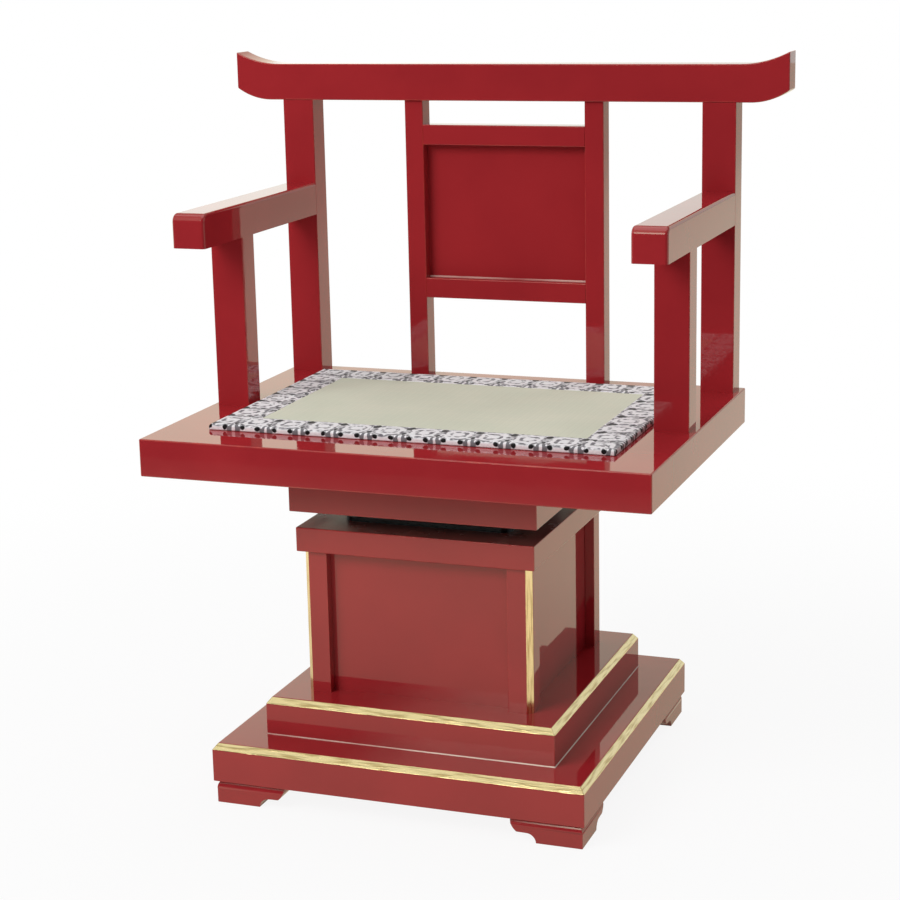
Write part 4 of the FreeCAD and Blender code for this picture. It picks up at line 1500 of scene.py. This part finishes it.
    def seam(self, side: Side, tool: NodeTool, edge: Vector, turn: Matrix, long: float) -> bpy.types.Object:
        """Sews one strip's hem to the facing.

        Args:
            side: The side of the mat.
            tool: The stitch tool.
            edge: The middle of the strip's outer edge, at the top of the mat.
            turn: The strip's rotation.
            long: The strip's length.

        Returns:
            The row of stitches.
        """
        inset = self.border - self.stitch_inset
        reach = long / 2 - inset
        count = 2 * int(reach / self.stitch_pitch) + 1
        start = Vector((-(count - 1) / 2 * self.stitch_pitch, inset, -self.stitch_sunk))
        mesh = tool.run(f"border_stitches_{side.name.lower()}", {
            "Count": count, "Start": tuple(edge + turn @ start),
            "Step": tuple(turn @ Vector((self.stitch_pitch, 0.0, 0.0))), "Turn": side.value * math.pi / 2,
            "Length": self.stitch_length, "Thickness": self.stitch_thickness,
            "Seed": self.stitch_seed + side.value, "Material": THREAD.material(),
        })
        mesh.shade_smooth()
        return Joinery.settle(Joinery.put(mesh.name, mesh), Body.SEAT, Slot.CLOTH)


@dataclass
class Studio:
    """A white paper floor, soft light from above, in front and behind, and the camera."""

    floor_front: float = -1.72
    floor_back: float = 14.0
    floor_side: float = 9.0
    paper: Colour = (0.86, 0.86, 0.86, 1.0)
    shadow_fade: Slope = Slope(0.5, 1.6, 0.9, 1.0)
    # The floor as the lacquer mirrors it, by the distance from the chair and along each axis.
    floor_near: Colour = (1.0, 0.895, 0.65, 1.0)
    floor_far: Colour = (1.0, 0.95, 0.75, 1.0)
    far_tint: Slope = Slope(0.9, 1.9)
    near_shade: Slope = Slope(0.35, 0.95, 0.74, 0.97)
    front_fade: Slope = Slope(floor_front, -1.1, 0.14, 1.0)
    side_fade: Slope = Slope(1.2, 2.1, 1.0, 0.75)
    back_fade: Slope = Slope(5.0, 8.0, 1.0, 0.86)
    # The room's light, and the room as the lacquer mirrors it, by the direction.
    sky: float = 0.25
    wall_tint: Colour = (0.97, 0.985, 0.79, 1.0)
    horizon_tint: Colour = (0.91, 0.98, 0.905, 1.0)
    horizon: Slope = Slope(0.2, 0.13)
    horizon_gain: float = 0.16
    wall_behind: Slope = Slope(-0.45, 0.15, 0.03, 1.2)
    wall_height: Slope = Slope(0.32, 0.46, 1.0, 0.4)
    wall_left: Slope = Slope(-0.42, -0.2, 1.04, 0.78)
    wall_right: Slope = Slope(0.0, 0.3, 1.0, 0.80)
    ceiling_glow: Slope = Slope(0.55, 0.8, 0.0, 0.55)
    key_glow: Slope = Slope(0.91, 0.97, 0.0, 0.88)
    glint_way: Point = (-0.24, -0.88, 0.46)
    glint_glow: Slope = Slope(0.985, 0.993, 0.0, 5.0)
    # The lamps.
    ceiling: Softbox = Softbox("ceiling_softbox", (0.1, 0.2, 3.1), (0.0, 0.1, 0.0), (3.0, 3.0), 28.0, True)
    key: Softbox = Softbox("front_softbox", (-1.5, -2.4, 2.3), (0.0, 0.0, 0.4), (2.0, 1.6), 63.0, False)
    fill: Softbox = Softbox("rear_softbox", (0.4, 2.8, 2.0), (0.0, 0.0, 0.4), (2.0, 1.6), 24.0, False)
    # The camera, fitted to the photograph.
    azimuth: float = 20.472
    elevation: float = 13.637
    roll: float = -1.227
    distance: float = 2.51435
    focal_pixels: float = 2113.1
    picture_pixels: float = 900.0
    sensor: float = 36.0
    target: Point = (-0.00623, 0.0, 0.38573)

    def build(self) -> None:
        """Builds the stage, the lamps and the camera."""
        self.floor()
        self.world()
        for softbox in (self.ceiling, self.key, self.fill):
            self.lamp(softbox)
        self.camera()
        bpy.context.scene.view_settings.view_transform = "Standard"

    @staticmethod
    def rays(bench: NodeBench) -> tuple[Socket, Socket]:
        """Which rays come from the camera, and which come off a mirror or through glass."""
        path = bench.add("ShaderNodeLightPath").outputs
        return path["Is Camera Ray"], bench.most(path["Is Glossy Ray"], path["Is Transmission Ray"])

    @staticmethod
    def slopes(bench: NodeBench, *fades: tuple[Socket, Slope]) -> Socket:
        """The product of several smooth changes, each of its own value."""
        return bench.times(*(bench.ramp(value, *slope) for value, slope in fades))

    def floor(self) -> None:
        """Lays the floor: white to the eye, warmer in reflections, with the chair's own soft shadow."""
        x, front, back = self.floor_side, self.floor_front, self.floor_back
        mesh = bpy.data.meshes.new("paper_floor")
        mesh.from_pydata([(-x, front, 0), (x, front, 0), (x, back, 0), (-x, back, 0)], [], [(0, 1, 2, 3)])
        made = bpy.data.materials.new("white_paper")
        bench = NodeBench.cleared(made)
        eye, gloss = self.rays(bench)
        place = bench.add("ShaderNodeTexCoord").outputs["Object"]
        side, depth = bench.axes(place)[:2]
        away = bench.vector("LENGTH", place).outputs["Value"]
        strength = self.slopes(
            bench, (depth, self.front_fade), (away, self.near_shade),
            (side, self.side_fade), (depth, self.back_fade),
        )
        tint = bench.blend(bench.ramp(away, *self.far_tint), self.floor_near, self.floor_far)
        mirrored = bench.add("ShaderNodeEmission", {"Color": tint, "Strength": strength})
        white = bench.add("ShaderNodeEmission", {"Color": WHITE, "Strength": 1.0})
        shown = bench.add("ShaderNodeMixShader", {0: gloss, 1: white.outputs[0], 2: mirrored.outputs[0]})
        paper = bench.add("ShaderNodeBsdfDiffuse", {"Color": self.paper})
        share = bench.times(bench.most(eye, gloss), bench.ramp(away, *self.shadow_fade))
        mixed = bench.add("ShaderNodeMixShader", {0: share, 1: paper.outputs[0], 2: shown.outputs[0]})
        bench.add("ShaderNodeOutputMaterial", {"Surface": mixed.outputs[0]})
        mesh.materials.append(made)
        Joinery.put("paper_floor", mesh)

    def world(self) -> None:
        """Sets the room: even soft light, white to the eye, and in mirrors pale behind and dark in front."""
        room = bpy.data.worlds.new("studio_room")
        bench = NodeBench.cleared(room)
        eye, gloss = self.rays(bench)
        way = bench.add("ShaderNodeTexCoord").outputs["Generated"]
        side, depth, up = bench.axes(way)
        level = bench.ramp(up, *self.horizon)
        wall = self.slopes(
            bench, (depth, self.wall_behind), (up, self.wall_height),
            (side, self.wall_left), (side, self.wall_right),
        )
        wall = bench.times(wall, bench.math("MULTIPLY_ADD", level, self.horizon_gain, 1.0))
        toward_key = bench.vector("DOT_PRODUCT", way, Vector(self.key.place).normalized())
        toward_glint = bench.vector("DOT_PRODUCT", way, Vector(self.glint_way).normalized())
        bright = bench.most(
            wall, bench.ramp(up, *self.ceiling_glow), bench.ramp(toward_key.outputs["Value"], *self.key_glow),
            bench.ramp(toward_glint.outputs["Value"], *self.glint_glow),
        )
        tint = bench.blend(level, self.wall_tint, self.horizon_tint)
        soft = bench.add("ShaderNodeBackground", {"Color": WHITE, "Strength": self.sky})
        mirrored = bench.add("ShaderNodeBackground", {"Color": tint, "Strength": bright})
        white = bench.add("ShaderNodeBackground", {"Color": WHITE, "Strength": 1.0})
        lit = bench.add("ShaderNodeMixShader", {0: gloss, 1: soft.outputs[0], 2: mirrored.outputs[0]})
        seen = bench.add("ShaderNodeMixShader", {0: eye, 1: lit.outputs[0], 2: white.outputs[0]})
        bench.add("ShaderNodeOutputWorld", {"Surface": seen.outputs[0]})
        bpy.context.scene.world = room

    def lamp(self, softbox: Softbox) -> bpy.types.Object:
        """Hangs one soft rectangular lamp.

        Args:
            softbox: The lamp.

        Returns:
            The object that holds it.
        """
        light = bpy.data.lights.new(softbox.name, "AREA")
        light.shape, light.energy = "RECTANGLE", softbox.watts
        light.size, light.size_y = softbox.size
        holder = Joinery.put(softbox.name, light)
        holder.location = softbox.place
        beam = Vector(softbox.aim) - Vector(softbox.place)
        holder.rotation_euler = beam.to_track_quat("-Z", "Y").to_euler()
        holder.visible_glossy = softbox.mirrored
        return holder

    def camera(self) -> None:
        """Sets the camera where the photograph was taken from."""
        az, el, ro = (math.radians(a) for a in (self.azimuth, self.elevation, self.roll))
        back = Vector((math.sin(az) * math.cos(el), -math.cos(az) * math.cos(el), math.sin(el)))
        right = (-back).cross(Vector((0, 0, 1))).normalized()
        up = right.cross(-back)
        cam_x = math.cos(ro) * right + math.sin(ro) * up
        cam_y = -math.sin(ro) * right + math.cos(ro) * up
        lens = bpy.data.cameras.new("photo_camera")
        lens.sensor_fit, lens.sensor_width = "HORIZONTAL", self.sensor
        lens.lens = self.focal_pixels / self.picture_pixels * self.sensor
        holder = Joinery.put("photo_camera", lens)
        turn = Matrix((cam_x, cam_y, back)).transposed().to_4x4()
        holder.matrix_world = Matrix.Translation(Vector(self.target) + back * self.distance) @ turn
        bpy.context.scene.camera = holder


def main() -> None:
    """Builds the chair from the floor up, then the studio, and logs each part as it is done."""
    logging.basicConfig(level=logging.INFO, format="%(name)s: %(message)s")
    for part in (Base(), Swivel(), SeatFrame(), ArmsAndBack(), SeatMat(), Studio()):
        part.build()
        log.info("%s done", type(part).__name__)


if __name__ == "__main__":
    main()
